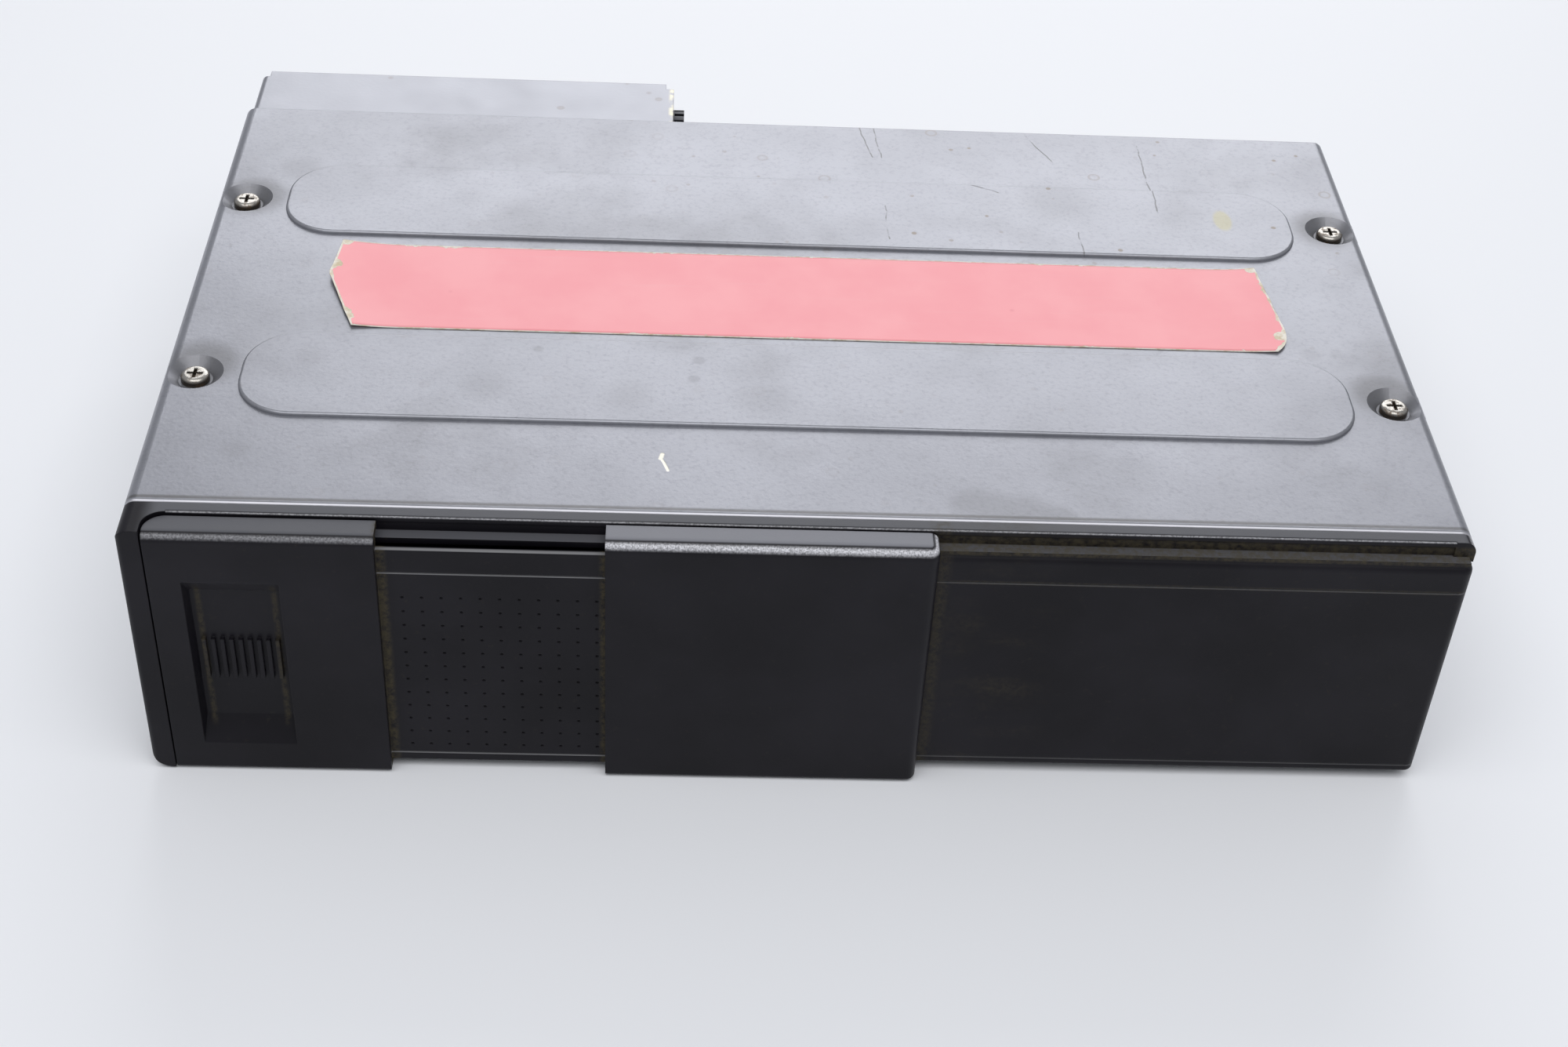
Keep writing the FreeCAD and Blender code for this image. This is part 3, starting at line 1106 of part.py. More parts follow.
def make_tray_drive():
    """Tray gear, the motor's pinion with its shaft, and the motor under the deck's arm."""
    z0, z1 = top_disc_z - 1.2, top_disc_z + 1.4
    wheel = gear(tray_gear_teeth, tray_module, z0, z1, 1.0 + shaft_gap, -90.0)
    wheel = moved(wheel, tray_gear_x, tray_gear_y)
    phase = mesh_phase(-90.0, tray_gear_teeth, tray_pinion_teeth, tray_pinion_direction)
    pinion = gear(tray_pinion_teeth, tray_module, z0, z1, 0, phase)
    shaft = upright(1.0, 0, 0, deck_underside - 5.0, z1)
    pinion = moved(fused([pinion, shaft]), tray_pinion_x, tray_pinion_y)
    can = upright(5.0, tray_pinion_x, tray_pinion_y, deck_underside - 9.5, deck_underside)
    motor = can.cut(upright(1.0 + shaft_gap, tray_pinion_x, tray_pinion_y, deck_underside - 5.5,
                            deck_underside + 1))
    return wheel, pinion, motor


def make_spindle():
    """Turntable with hub and shaft, and the flat motor that turns it."""
    rim_z = top_disc_z - turntable_drop
    rim = cone(turntable_radius - 0.6, turntable_radius, play_x, disc_y, rim_z - 2.4, rim_z)
    ring = upright(turntable_radius - 2.5, play_x, disc_y, rim_z - 0.5, rim_z + 0.1)
    ring = ring.cut(upright(hub_radius + 1.5, play_x, disc_y, rim_z - 1, rim_z + 1))
    hub_top = top_disc_z - hub_drop
    hub = cone(hub_radius, hub_radius - 0.9, play_x, disc_y, rim_z - 0.1, hub_top)
    motor_top = deck_underside
    shaft = upright(spindle_radius, play_x, disc_y, motor_top - 4.0, rim_z)
    turntable = fused([rim.cut(ring), hub, shaft])
    can = upright(spindle_motor_radius, play_x, disc_y, motor_top - spindle_motor_height, motor_top)
    can = round_edges(can, 0.8, lambda c: c.z < motor_top - spindle_motor_height + 0.01)
    can = can.cut(upright(spindle_radius + shaft_gap, play_x, disc_y, motor_top - 4.5, motor_top + 1))
    return turntable, can


def make_clamp():
    """Clamp arm on its cross pin, and the clamper that hangs in it."""
    pivot_z = top_disc_z + clamp_pivot_rise
    plate_z0, plate_z1 = pivot_z - 0.5, pivot_z + 0.5
    half = clamp_arm_half
    plate = block(play_x, clamp_pivot_x, disc_y - half, disc_y + half, plate_z0, plate_z1)
    nose = upright(half, play_x, disc_y, plate_z0, plate_z1)
    barrel = rod(1.5, 2 * half, (clamp_pivot_x, disc_y - half, pivot_z), (0, 1, 0))
    pin = rod(1.0, 2 * half + 7.0, (clamp_pivot_x, disc_y - half - 3.5, pivot_z), (0, 1, 0))
    window = rounded_plate(play_x + 23, clamp_pivot_x - 7.9, disc_y - 8, disc_y + 8, plate_z0 - 1,
                           plate_z1 + 1, 4)
    removals = [upright(5.5, play_x, disc_y, plate_z0 - 1, plate_z1 + 1), window]
    arm = cut(fused([plate, nose, barrel, pin]), removals)
    base = top_disc_z + clamper_lift
    lower = upright(clamper_radius, play_x, disc_y, base, base + 2.0)
    lower = round_edges(lower, 0.5, lambda c: c.z > base + 1.9)
    neck = upright(5.0, play_x, disc_y, base + 1.9, plate_z1 + gap + 0.1)
    flange = upright(8.0, play_x, disc_y, plate_z1 + gap, plate_z1 + gap + 1.0)
    recess = cone(hub_radius + 0.9, hub_radius + 0.4, play_x, disc_y, base - 0.1, base + 1.4)
    return arm, cut(fused([lower, neck, flange]), [recess])


def make_pickup():
    """Pickup body on its rod and lead screw, and the lens over it."""
    u = sled_inner
    body = block(u - 6.5, u + 9, -9.5, 9.5, rod_z - 2.6, deck_underside + 1.2)
    body = round_edges(body, 1.2, lambda c: c.z > deck_underside + 1.1)
    sleeve = rod(2.7, 10.0, (u - 3, rod_offset, rod_z), (1, 0, 0))
    rod_arm = block(u - 3, u + 7, 8.5, rod_offset, rod_z - 1.5, rod_z + 1.5)
    nut_arm = block(u - 2, u + 3, -rod_offset - 2.6, -8.5, rod_z - 2.4, rod_z + 2.4)
    holder = upright(4.6, u, 0, deck_underside + 1.0, top_disc_z - lens_top_drop - 0.6)
    bores = [rod(rod_radius + shaft_gap, 40, (u - 20, rod_offset, rod_z), (1, 0, 0)),
             rod(rod_radius + 0.1, 40, (u - 20, -rod_offset, rod_z), (1, 0, 0)),
             upright(3.1, u, 0, top_disc_z - lens_top_drop - 2.3, top_disc_z)]
    pickup = cut(fused([body, sleeve, rod_arm, nut_arm, holder]), bores)
    lens_z = top_disc_z - lens_top_drop
    lens = upright(3.0, u, 0, lens_z - 1.6, lens_z - 0.5)
    dome = Part.makeSphere(4.0, Vector(u, 0, lens_z - 4.0)).common(upright(2.6, u, 0, lens_z - 0.6,
                                                                           lens_z + 1))
    return sled_place(pickup), sled_place(fused([lens, dome]))


def make_sled_drive():
    """Guide rod, lead screw with its gear, the motor's pinion with its shaft, and the sled motor."""
    guide = rod(rod_radius, 60.5, (12.2, rod_offset, rod_z), (1, 0, 0))
    screw = rod(rod_radius, 59.2, (13.4, -rod_offset, rod_z), (1, 0, 0))
    grooves = []
    for index in range(15):
        u = 21.5 + index * 3.0
        ring = rod(rod_radius + 0.5, 0.8, (u, -rod_offset, rod_z), (1, 0, 0))
        grooves.append(ring.cut(rod(rod_radius - 0.3, 2, (u - 0.5, -rod_offset, rod_z), (1, 0, 0))))
    wheel = turned(gear(sled_gear_teeth, sled_module, 0, 1.8, 0, -90.0), (0, 1, 0), 90)
    wheel = moved(wheel, 14.4, -rod_offset, rod_z)
    distance = (sled_gear_teeth + sled_pinion_teeth) * sled_module / 2
    phase = mesh_phase(-90.0, sled_gear_teeth, sled_pinion_teeth, -90.0)
    pinion = turned(gear(sled_pinion_teeth, sled_module, 0, 2.0, 0, phase), (0, 1, 0), 90)
    pinion_v = -rod_offset - distance
    pinion = fused([moved(pinion, 14.3, pinion_v, rod_z), rod(0.8, 10.0, (14.3, pinion_v, rod_z), (1, 0, 0))])
    can = rod(5.0, 17.0, (21.0, pinion_v, rod_z), (1, 0, 0))
    can = can.common(block(20, 40, pinion_v - 6, pinion_v + 6, rod_z - 3.7, rod_z + 3.7))
    can = can.cut(rod(0.8 + shaft_gap, 4.0, (20.8, pinion_v, rod_z), (1, 0, 0)))
    screw = fused([cut(screw, grooves), wheel])
    return sled_place(guide), sled_place(screw), sled_place(pinion), sled_place(can)


def make_flex_cable():
    """Flat cable from the board up the frame's side to the deck."""
    upright_part = block(flex_x, flex_x + 0.3, flex_y[0], flex_y[1], board_bottom + board_thickness + 0.3,
                         deck_underside - 0.1)
    top = block(flex_x - 8, flex_x + 0.3, flex_y[0], flex_y[1], deck_underside - 0.4, deck_underside - 0.1)
    bottom = block(board_half_length - 2, flex_x + 0.3, flex_y[0], flex_y[1],
                   board_bottom + board_thickness, board_bottom + board_thickness + 0.3)
    return fused([upright_part, top, bottom])


# ---------------------------------------------------------------- every part
def make_all():
    """Each node's name and shape."""
    cover_screws, bezel_screws, rear_screws, board_screws = make_screw_groups()
    socket, socket_pins = make_socket()
    switch_board, eject_switch = make_switch_parts()
    main_board, chips, capacitors, plugs, socket_board = make_boards()
    side_springs, dial_springs = make_springs()
    magazine_base, magazine_lid = make_magazine()
    tray, disc = make_tray(), make_disc()
    lift_gear, lift_pinion = make_lift_gears()
    lift_motor, lift_bracket = make_lift_motor()
    tray_gear, tray_pinion, tray_motor = make_tray_drive()
    turntable, spindle_motor = make_spindle()
    clamp_arm, clamper = make_clamp()
    pickup, pickup_lens = make_pickup()
    guide_rod, lead_screw, sled_pinion, sled_motor = make_sled_drive()
    return {
        "top_cover": make_top_cover(), "bottom_chassis": make_bottom_chassis(),
        "rear_panel": make_rear_panel(),
        "rear_box": make_rear_box(), "front_bezel": make_front_bezel(), "cover_label": make_cover_label(),
        "cover_screws": cover_screws, "bezel_screws": bezel_screws, "rear_screws": rear_screws,
        "main_board": main_board, "board_chips": chips, "board_capacitors": capacitors, "board_plugs": plugs,
        "board_screws": board_screws, "socket_board": socket_board, "cable_socket": socket,
        "socket_pins": socket_pins, "switch_board": switch_board, "eject_switch": eject_switch,
        "dampers": make_dampers(), "side_springs": side_springs, "dial_springs": dial_springs,
        "left_angle_dial": make_angle_dial(-1), "right_angle_dial": make_angle_dial(1),
        "grip_door": make_grip_door(), "centre_cover": make_centre_cover(),
        "eject_button": make_eject_button(),
        "mechanism_frame": make_mechanism_frame(), "magazine_rails": make_magazine_rails(),
        "eject_lever": make_eject_lever(), "eject_spring": make_eject_spring(),
        "flex_cable": make_flex_cable(),
        "lift_slider": make_lift_slider(), "lift_gear": lift_gear, "lift_pinion": lift_pinion,
        "lift_motor": lift_motor, "lift_motor_bracket": lift_bracket,
        "magazine_base": magazine_base, "magazine_lid": magazine_lid,
        "top_tray": tray, "lower_trays": lower_copies(tray), "top_disc": disc,
        "lower_discs": lower_copies(disc),
        "drive_deck": make_drive_deck(), "tray_gear": tray_gear, "tray_pinion": tray_pinion,
        "tray_motor": tray_motor, "turntable": turntable, "spindle_motor": spindle_motor,
        "clamp_arm": clamp_arm, "clamper": clamper, "pickup": pickup, "pickup_lens": pickup_lens,
        "guide_rod": guide_rod, "lead_screw": lead_screw, "sled_pinion": sled_pinion,
        "sled_motor": sled_motor,
    }


os.makedirs("parts", exist_ok=True)
for node, shape in make_all().items():
    export(node, shape)
    solids = len(shape.Solids)
    print(node, solids, "valid" if shape.isValid() else "NOT VALID", round(shape.Volume, 1))
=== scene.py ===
"""Finishes for a car disc changer: paint, mouldings, sticker, springs, ribbon, boards, light and camera."""

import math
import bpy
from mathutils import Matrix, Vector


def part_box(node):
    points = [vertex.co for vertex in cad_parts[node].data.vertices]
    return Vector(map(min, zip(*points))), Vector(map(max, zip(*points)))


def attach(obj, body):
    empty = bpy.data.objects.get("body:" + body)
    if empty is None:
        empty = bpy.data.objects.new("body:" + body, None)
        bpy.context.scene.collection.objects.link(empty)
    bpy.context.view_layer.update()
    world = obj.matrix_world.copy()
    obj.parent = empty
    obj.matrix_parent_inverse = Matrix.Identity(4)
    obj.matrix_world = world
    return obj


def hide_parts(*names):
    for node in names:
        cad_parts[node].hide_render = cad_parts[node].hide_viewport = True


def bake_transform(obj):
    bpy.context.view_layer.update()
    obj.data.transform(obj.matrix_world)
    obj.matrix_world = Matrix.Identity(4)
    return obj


bl_info = {
    "name": "Disc Changer Finishes",
    "version": (1, 0, 0),
    "blender": (4, 5, 0),
    "location": "3D View > Sidebar > Changer",
    "description": "Finishes each piece of a car disc changer and sets its stage",
    "category": "Object",
}

import bmesh
import bpy
from bpy.props import FloatProperty, FloatVectorProperty, IntProperty, PointerProperty
from mathutils import Euler, Vector, noise

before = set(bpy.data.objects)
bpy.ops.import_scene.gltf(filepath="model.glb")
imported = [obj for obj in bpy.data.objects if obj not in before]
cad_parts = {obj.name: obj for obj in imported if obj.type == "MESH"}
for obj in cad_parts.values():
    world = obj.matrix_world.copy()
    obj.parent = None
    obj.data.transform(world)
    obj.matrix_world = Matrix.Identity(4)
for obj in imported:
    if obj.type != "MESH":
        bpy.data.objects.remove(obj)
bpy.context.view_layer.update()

MM = 0.001
FRONT_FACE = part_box("centre_cover")[0].y
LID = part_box("top_cover")
RIB_HEIGHT = 0.8 * MM
LID_FLAT = LID[1].z - RIB_HEIGHT
LID_SETBACK = 7.8 * MM
LID_START = LID[0].y - LID_SETBACK


def on_lid(x, depth):
    """Point on the lid: millimetres across, and millimetres back from a line LID_SETBACK before its edge."""
    return Vector((x * MM, LID_START + depth * MM, LID_FLAT))


# ---------------------------------------------------------------- sizes and colours a user would change
def colour(name, description, value):
    """Colour property with three channels."""
    return FloatVectorProperty(name=name, description=description, default=value, size=3, min=0.0, max=1.0,
                               subtype="COLOR")


def length(name, description, value):
    """Length property in metres."""
    return FloatProperty(name=name, description=description, default=value, min=0.0, precision=5,
                         subtype="DISTANCE", unit="LENGTH")


def share(name, description, value):
    """Property from none to all."""
    return FloatProperty(name=name, description=description, default=value, min=0.0, max=1.0,
                         subtype="FACTOR")


def strength(name, description, value):
    """Property for how strong a light is."""
    return FloatProperty(name=name, description=description, default=value, min=0.0)


class LidPaint(bpy.types.PropertyGroup):
    """Satin paint of the lid."""
    paint: colour("Paint", "Grey satin paint", (0.318, 0.324, 0.360))
    # Grime colour, also used for the painted shade round the screw dishes and along the front fold.
    grime_and_shade: colour("Grime", "Dark grease in smears and hollows", (0.12, 0.118, 0.12))
    stain: colour("Stain", "Brown dried drops", (0.20, 0.175, 0.155))
    # Painted highlight on the lid's front fold.
    fold_highlight: colour("Rubbed edge", "Brighter front fold", (0.50, 0.50, 0.54))
    gloss_roughness: share("Roughness", "How far the paint scatters its gloss", 0.36)
    metal: share("Metal", "Share of metal in the paint's sheen", 0.62)
    grain: length("Grain", "Width of the paint's fine dimples", 0.0009)
    grain_depth: length("Grain depth", "Height of the paint's fine dimples", 0.000024)
    scratch_width: length("Scratch width", "Width of the long scratches", 0.00022)


class BareSteel(bpy.types.PropertyGroup):
    """Plated sheet steel of the chassis, the rear panel and the connector housing."""
    plating: colour("Plating", "Zinc plating", (0.42, 0.425, 0.44))
    tarnish: colour("Tarnish", "Duller patches", (0.35, 0.35, 0.355))
    roughness: share("Roughness", "Roughness of the plating", 0.38)


class FrontMoulding(bpy.types.PropertyGroup):
    """Black textured plastic of the front."""
    plastic: colour("Plastic", "Black plastic", (0.0056, 0.0050, 0.0074))
    dust: colour("Dust", "Brown dust in the corners", (0.070, 0.058, 0.034))
    # Painted sheen: faces that look up are made lighter.
    top_sheen: colour("Top film", "Fine dust on faces that look up", (0.125, 0.127, 0.142))
    # Painted highlight on the rolled edges of the top faces.
    glint: colour("Glint", "Rubbed grain on the rolled edges", (0.82, 0.82, 0.87))
    # Painted highlight along the lower lips of the moulded grooves.
    line: colour("Line", "Rubbed edge of a moulded groove", (0.24, 0.24, 0.25))
    roughness: share("Roughness", "Roughness of the moulded face", 0.42)
    grain: length("Grain", "Width of the moulded texture", 0.00035)
    soft_edge: length("Soft edge", "Rounding of the moulded edges", 0.00035)


class StickerFilm(bpy.types.PropertyGroup):
    """Faded red sticker."""
    face: colour("Face", "Faded red face", (0.90, 0.335, 0.37))
    paper: colour("Paper", "Torn white paper at the edges", (0.84, 0.80, 0.72))
    tear: length("Tear", "How far the torn edge reaches in", 0.0009)
    left_lift: length("Left lift", "How far the left end stands up", 0.00118)
    right_lift: length("Right lift", "How far the right end stands up", 0.0008)
    steps: IntProperty(name="Steps", description="Divisions along the sticker", default=240, min=20)


class Windings(bpy.types.PropertyGroup):
    """Coiled springs, dampers and the flat ribbon."""
    wire: length("Wire", "Wire thickness of the hanging springs", 0.0005)
    turns: IntProperty(name="Turns", description="Turns of a hanging spring", default=30, min=3)
    lever_wire: length("Lever wire", "Wire thickness of the lever's spring", 0.00055)
    lever_turns: IntProperty(name="Lever turns", description="Turns of the lever's spring", default=6, min=2)
    bellows: IntProperty(name="Bellows", description="Folds in each damper", default=4, min=1)
    ribbon: length("Ribbon", "Thickness of the flat ribbon", 0.0003)


class StudioStage(bpy.types.PropertyGroup):
    """Table, lamps and camera."""
    table: colour("Table", "Pale table", (0.885, 0.898, 0.935))
    panel_strength: strength("Rear panel", "Radiance of the panel behind", 2.5)
    top_strength: strength("Top lamp", "Radiance of the lamp above", 2.2)
    sky: strength("Sky", "Strength of the even light", 0.40)
    focal_length: FloatProperty(name="Focal length", description="Camera lens in millimetres", default=53.098)


# ---------------------------------------------------------------- material building
class Finish:
    """One material being built: its shader and the nodes that feed it, in the changer's own metres."""

    def __init__(self, name, base=(0.5, 0.5, 0.5), roughness=0.5, metallic=0.0, specular=0.5):
        self.material = bpy.data.materials.new(name)
        self.material.use_nodes = True
        self.tree = self.material.node_tree
        self.shader = self.tree.nodes["Principled BSDF"]
        self.place = self.node("ShaderNodeTexCoord").outputs["Object"]
        self.height = None
        self.base = base
        self.set("Base Color", base)
        self.set("Roughness", roughness)
        self.set("Metallic", metallic)
        self.set("Specular IOR Level", specular)

    def node(self, kind, **settings):
        """Adds a node and applies its settings."""
        made = self.tree.nodes.new(kind)
        for name, value in settings.items():
            setattr(made, name, value)
        return made

    def set(self, socket, value):
        """Writes a plain value on the shader, or links an output to it."""
        self.feed(self.shader.inputs[socket], value)

    def feed(self, socket, value):
        """Writes a plain value into a socket, or links an output to it."""
        if isinstance(value, bpy.types.NodeSocket):
            self.tree.links.new(value, socket)
        elif socket.type == "RGBA" and len(value) == 3:
            socket.default_value = (*value, 1.0)
        else:
            socket.default_value = value

    def maths(self, operation, *values):
        """One arithmetic step."""
        made = self.node("ShaderNodeMath", operation=operation)
        for socket, value in zip(made.inputs, values):
            self.feed(socket, value)
        return made.outputs["Value"]

    def vectors(self, operation, *values, out="Vector"):
        """One step of vector arithmetic."""
        made = self.node("ShaderNodeVectorMath", operation=operation)
        for socket, value in zip(made.inputs, values):
            self.feed(socket, value)
        return made.outputs[out]

    def scaled_place(self, size, stretch=(1.0, 1.0, 1.0), shift=(0.0, 0.0, 0.0)):
        """Place divided by a feature size, so that one unit is one feature."""
        moved = self.vectors("ADD", self.place, shift)
        return self.vectors("MULTIPLY", moved, tuple(factor / size for factor in stretch))

    def noise(self, size, detail=3.0, roughness=0.55, stretch=(1.0, 1.0, 1.0), shift=(0.0, 0.0, 0.0)):
        """Soft noise from 0 to 1 with features about that size."""
        made = self.node("ShaderNodeTexNoise")
        self.feed(made.inputs["Vector"], self.scaled_place(size, stretch, shift))
        made.inputs["Scale"].default_value = 1.0
        made.inputs["Detail"].default_value = detail
        made.inputs["Roughness"].default_value = roughness
        return made.outputs["Fac"]

    def cells(self, size, shift=(0.0, 0.0, 0.0)):
        """Distance to scattered points, in features."""
        made = self.node("ShaderNodeTexVoronoi")
        self.feed(made.inputs["Vector"], self.scaled_place(size, shift=shift))
        made.inputs["Scale"].default_value = 1.0
        return made.outputs["Distance"]

    def between(self, value, low, high):
        """0 below low, 1 above high, smooth in between; the other way round where low is above high."""
        made = self.node("ShaderNodeMapRange", interpolation_type="SMOOTHSTEP")
        self.feed(made.inputs["Value"], value)
        made.inputs["From Min"].default_value = min(low, high)
        made.inputs["From Max"].default_value = max(low, high)
        made.inputs["To Min"].default_value = 0.0 if low < high else 1.0
        made.inputs["To Max"].default_value = 1.0 if low < high else 0.0
        return made.outputs["Result"]

    def axis(self, name):
        """X, Y or Z of the place, in metres."""
        return self.axes().outputs[name]

    def axes(self):
        """Node that splits the place, made once."""
        for made in self.tree.nodes:
            if made.label == "axes":
                return made
        made = self.node("ShaderNodeSeparateXYZ", label="axes")
        self.feed(made.inputs["Vector"], self.place)
        return made

    def facing(self, name):
        """X, Y or Z of the surface's own direction."""
        made = self.node("ShaderNodeSeparateXYZ")
        self.feed(made.inputs["Vector"], self.node("ShaderNodeNewGeometry").outputs["Normal"])
        return made.outputs[name]

    def blend(self, factor, first, second):
        """Mix of two colours."""
        made = self.node("ShaderNodeMix", data_type="RGBA")
        self.feed(made.inputs["Factor"], factor)
        self.feed(made.inputs["A"], first)
        self.feed(made.inputs["B"], second)
        return made.outputs["Result"]

    def coat(self, layer, *masks):
        """Lays a colour over the base colour, as far as the product of the masks."""
        self.base = self.blend(self.multiply(*masks), self.base, layer)
        self.set("Base Color", self.base)

    def band(self, value, rise, fall):
        """1 in a band whose soft edges lie in rise and in fall."""
        return self.multiply(self.between(value, *rise), self.between(value, *fall))

    def multiply(self, *values):
        """Product of masks."""
        whole = values[0]
        for value in values[1:]:
            whole = self.maths("MULTIPLY", whole, value)
        return whole

    def either(self, *values):
        """Highest of several masks."""
        whole = values[0]
        for value in values[1:]:
            whole = self.maths("MAXIMUM", whole, value)
        return whole

    def from_axis(self, point, squash=1.0):
        """Offset from the upright line through a point; squash shortens it from front to back."""
        offset = self.vectors("SUBTRACT", self.place, tuple(point))
        return self.vectors("MULTIPLY", offset, (1.0, squash, 0.0))

    def near_point(self, point, reach, fade, squash=1.0):
        """1 near a point seen from above, 0 beyond."""
        offset = self.from_axis(point, squash)
        return self.between(self.vectors("LENGTH", offset, out="Value"), reach + fade, reach)

    def mark(self, ends, width, wander=0.0):
        """1 on a line with a soft edge between two places on the lid; wander bends it with noise."""
        start, end = (on_lid(*place) for place in ends)
        along = end - start
        place = self.place
        if wander:
            bend = self.vectors("MULTIPLY", self.wander_noise(0.006), (wander, wander, 0.0))
            place = self.vectors("ADD", place, bend)
        offset = self.vectors("SUBTRACT", place, tuple(start))
        travel = self.vectors("DOT_PRODUCT", offset, tuple(along / along.length_squared), out="Value")
        travel = self.maths("MAXIMUM", self.maths("MINIMUM", travel, 1.0), 0.0)
        nearest = self.node("ShaderNodeVectorMath", operation="SCALE")
        nearest.inputs["Vector"].default_value = tuple(along)
        self.feed(nearest.inputs["Scale"], travel)
        rest = self.vectors("SUBTRACT", offset, nearest.outputs["Vector"])
        rest = self.vectors("MULTIPLY", rest, (1.0, 1.0, 0.0))
        return self.between(self.vectors("LENGTH", rest, out="Value"), width, width * 0.35)

    def wander_noise(self, size):
        """Noise as a vector around zero."""
        made = self.node("ShaderNodeTexNoise")
        self.feed(made.inputs["Vector"], self.scaled_place(size))
        made.inputs["Scale"].default_value = 1.0
        return self.vectors("SUBTRACT", made.outputs["Color"], (0.5, 0.5, 0.5))

    def roughen(self, size, spread, start, detail=3.0):
        """Roughness that wanders up from start by as much as spread."""
        self.set("Roughness", self.maths("MULTIPLY_ADD", self.noise(size, detail=detail), spread, start))

    def raise_by(self, value, depth):
        """Adds a height in metres to the bump."""
        step = self.maths("MULTIPLY", value, depth)
        self.height = step if self.height is None else self.maths("ADD", self.height, step)

    def done(self, soft_edge=0.0):
        """Joins the bump and the softened edges to the shader, and returns the material."""
        soft = None
        if soft_edge:
            soft = self.node("ShaderNodeBevel", samples=4)
            soft.inputs["Radius"].default_value = soft_edge
        if self.height is not None:
            bump = self.node("ShaderNodeBump")
            bump.inputs["Distance"].default_value = 1.0
            bump.inputs["Strength"].default_value = 1.0
            self.feed(bump.inputs["Height"], self.height)
            if soft:
                self.feed(bump.inputs["Normal"], soft.outputs["Normal"])
            self.set("Normal", bump.outputs["Normal"])
        elif soft:
            self.set("Normal", soft.outputs["Normal"])
        return self.material


def mottled(name, first, second, size, rough, detail=4.0, **settings):
    """Finish that wanders between two colours, with a roughness that wanders as roughen takes it."""
    plain = Finish(name, first, **settings)
    plain.coat(second, plain.noise(size, detail=detail))
    plain.roughen(*rough)
    return plain


def scaled(value, factor):
    """Colour with every channel multiplied."""
    return tuple(channel * factor for channel in value)


def dress(material, *nodes):
    """Puts one material on every slot of the named pieces."""
    for name in nodes:
        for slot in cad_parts[name].material_slots:
            slot.material = material


# ---------------------------------------------------------------- mesh building
def build(name, make, material, smooth=True, closed=True):
    """New object from a function that fills a bmesh; the faces of a closed shape are turned outwards."""
    mesh = bpy.data.meshes.new(name)
    work = bmesh.new()
    make(work)
    if closed:
        bmesh.ops.recalc_face_normals(work, faces=work.faces)
    work.to_mesh(mesh)
    work.free()
    for face in mesh.polygons:
        face.use_smooth = smooth
    mesh.materials.append(material)
    made = bpy.data.objects.new(name, mesh)
    bpy.context.scene.collection.objects.link(made)
    return made


def piece(name, make, material, body, smooth=True):
    """New piece of the changer; it rides on a body, or is left without one where body is None."""
    made = build(name, make, material, smooth)
    if body:
        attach(made, body)
    return made


def skin(work, rings, closed_ring=True, caps=True):
    """Faces between rings of vertices, with caps at both ends."""
    count = len(rings[0])
    for lower, upper in zip(rings, rings[1:]):
        for here in range(count if closed_ring else count - 1):
            after = (here + 1) % count
            work.faces.new((lower[here], lower[after], upper[after], upper[here]))
    if caps:
        work.faces.new(list(reversed(rings[0])))
        work.faces.new(rings[-1])


def around(centre, radius, share_round, height):
    """Point at a share of the way round an upright axis, and at a height."""
    angle = 2 * math.pi * share_round
    return Vector((centre.x + radius * math.cos(angle), centre.y + radius * math.sin(angle), height))


def tube(work, path, radius, sides=8):
    """Round wire along a path of points."""
    rings = []
    across = None
    for index, point in enumerate(path):
        along = (path[min(index + 1, len(path) - 1)] - path[max(index - 1, 0)]).normalized()
        if across is None:
            across = along.orthogonal().normalized()
        across = (across - along * across.dot(along)).normalized()
        other = along.cross(across)
        ring = []
        for side in range(sides):
            angle = 2 * math.pi * side / sides
            ring.append(work.verts.new(point + radius * (math.cos(angle) * across + math.sin(angle) * other)))
        rings.append(ring)
    skin(work, rings)


def spun(work, centre, profile, sides=40):
    """Solid of revolution about a vertical axis, from (radius, height) pairs."""
    rings = []
    for radius, height in profile:
        rings.append([work.verts.new(around(centre, radius, side / sides, height)) for side in range(sides)])
    skin(work, rings)


def coil_path(centre, low, high, radius, turns, steps=14, hook=0.0):
    """Points of an upright coil, with straight hooks at its ends."""
    points = []
    if hook:
        points.append(Vector((centre.x, centre.y, low)))
    count = turns * steps
    for step in range(count + 1):
        height = low + hook + (high - low - 2 * hook) * step / count
        points.append(around(centre, radius, step / steps, height))
    if hook:
        points.append(Vector((centre.x, centre.y, high)))
    return points


# ---------------------------------------------------------------- lid
# Places on the lid as on_lid takes them, in millimetres. Smudges and spots end with their reach.
SMEAR = ((31, 13.4), (48.7, 9.6))
SMUDGES = ((-110, 24, 3.5), (-76, 20, 6), (-35, 44, 6), (-100, 54, 5), (-64, 46, 7), (-112, 128, 6),
           (60, 123, 11), (-8, 44, 8), (108, 66, 3), (114, 66, 2.5))
SPOTS = ((-54, 59, 0.7), (-22, 50, 0.9), (-21, 56.5, 1.0), (-24, 61, 0.7))
SCRATCHES = (
    ((19.6, 154), (21.1, 139.9)), ((20.7, 122.6), (20.6, 104.5)), ((15.9, 155.4), (19.0, 141.1)),
    ((56, 153), (61.5, 141)), ((63.7, 109.8), (64.3, 100.2)), ((40.5, 129), (47, 126)),
    ((82.5, 150), (83.0, 119)),
)
CHIP_UPPER = ((-27.9, 26.0), (-28.2, 24.6))
CHIP_LOWER = ((-28.0, 24.4), (-26.8, 20.9))
RESIN_SPOT = (97.5, 116.5)
DROPS_ACROSS = -0.06, 0.03  # where the drops get denser towards the right, in metres
DROPS_BACK = 0.094, 0.104   # where they get denser behind LID_START, in metres
SHADE_INSET = 1 / 60  # how far in each dish's shade lies, as a share of the screws' whole width


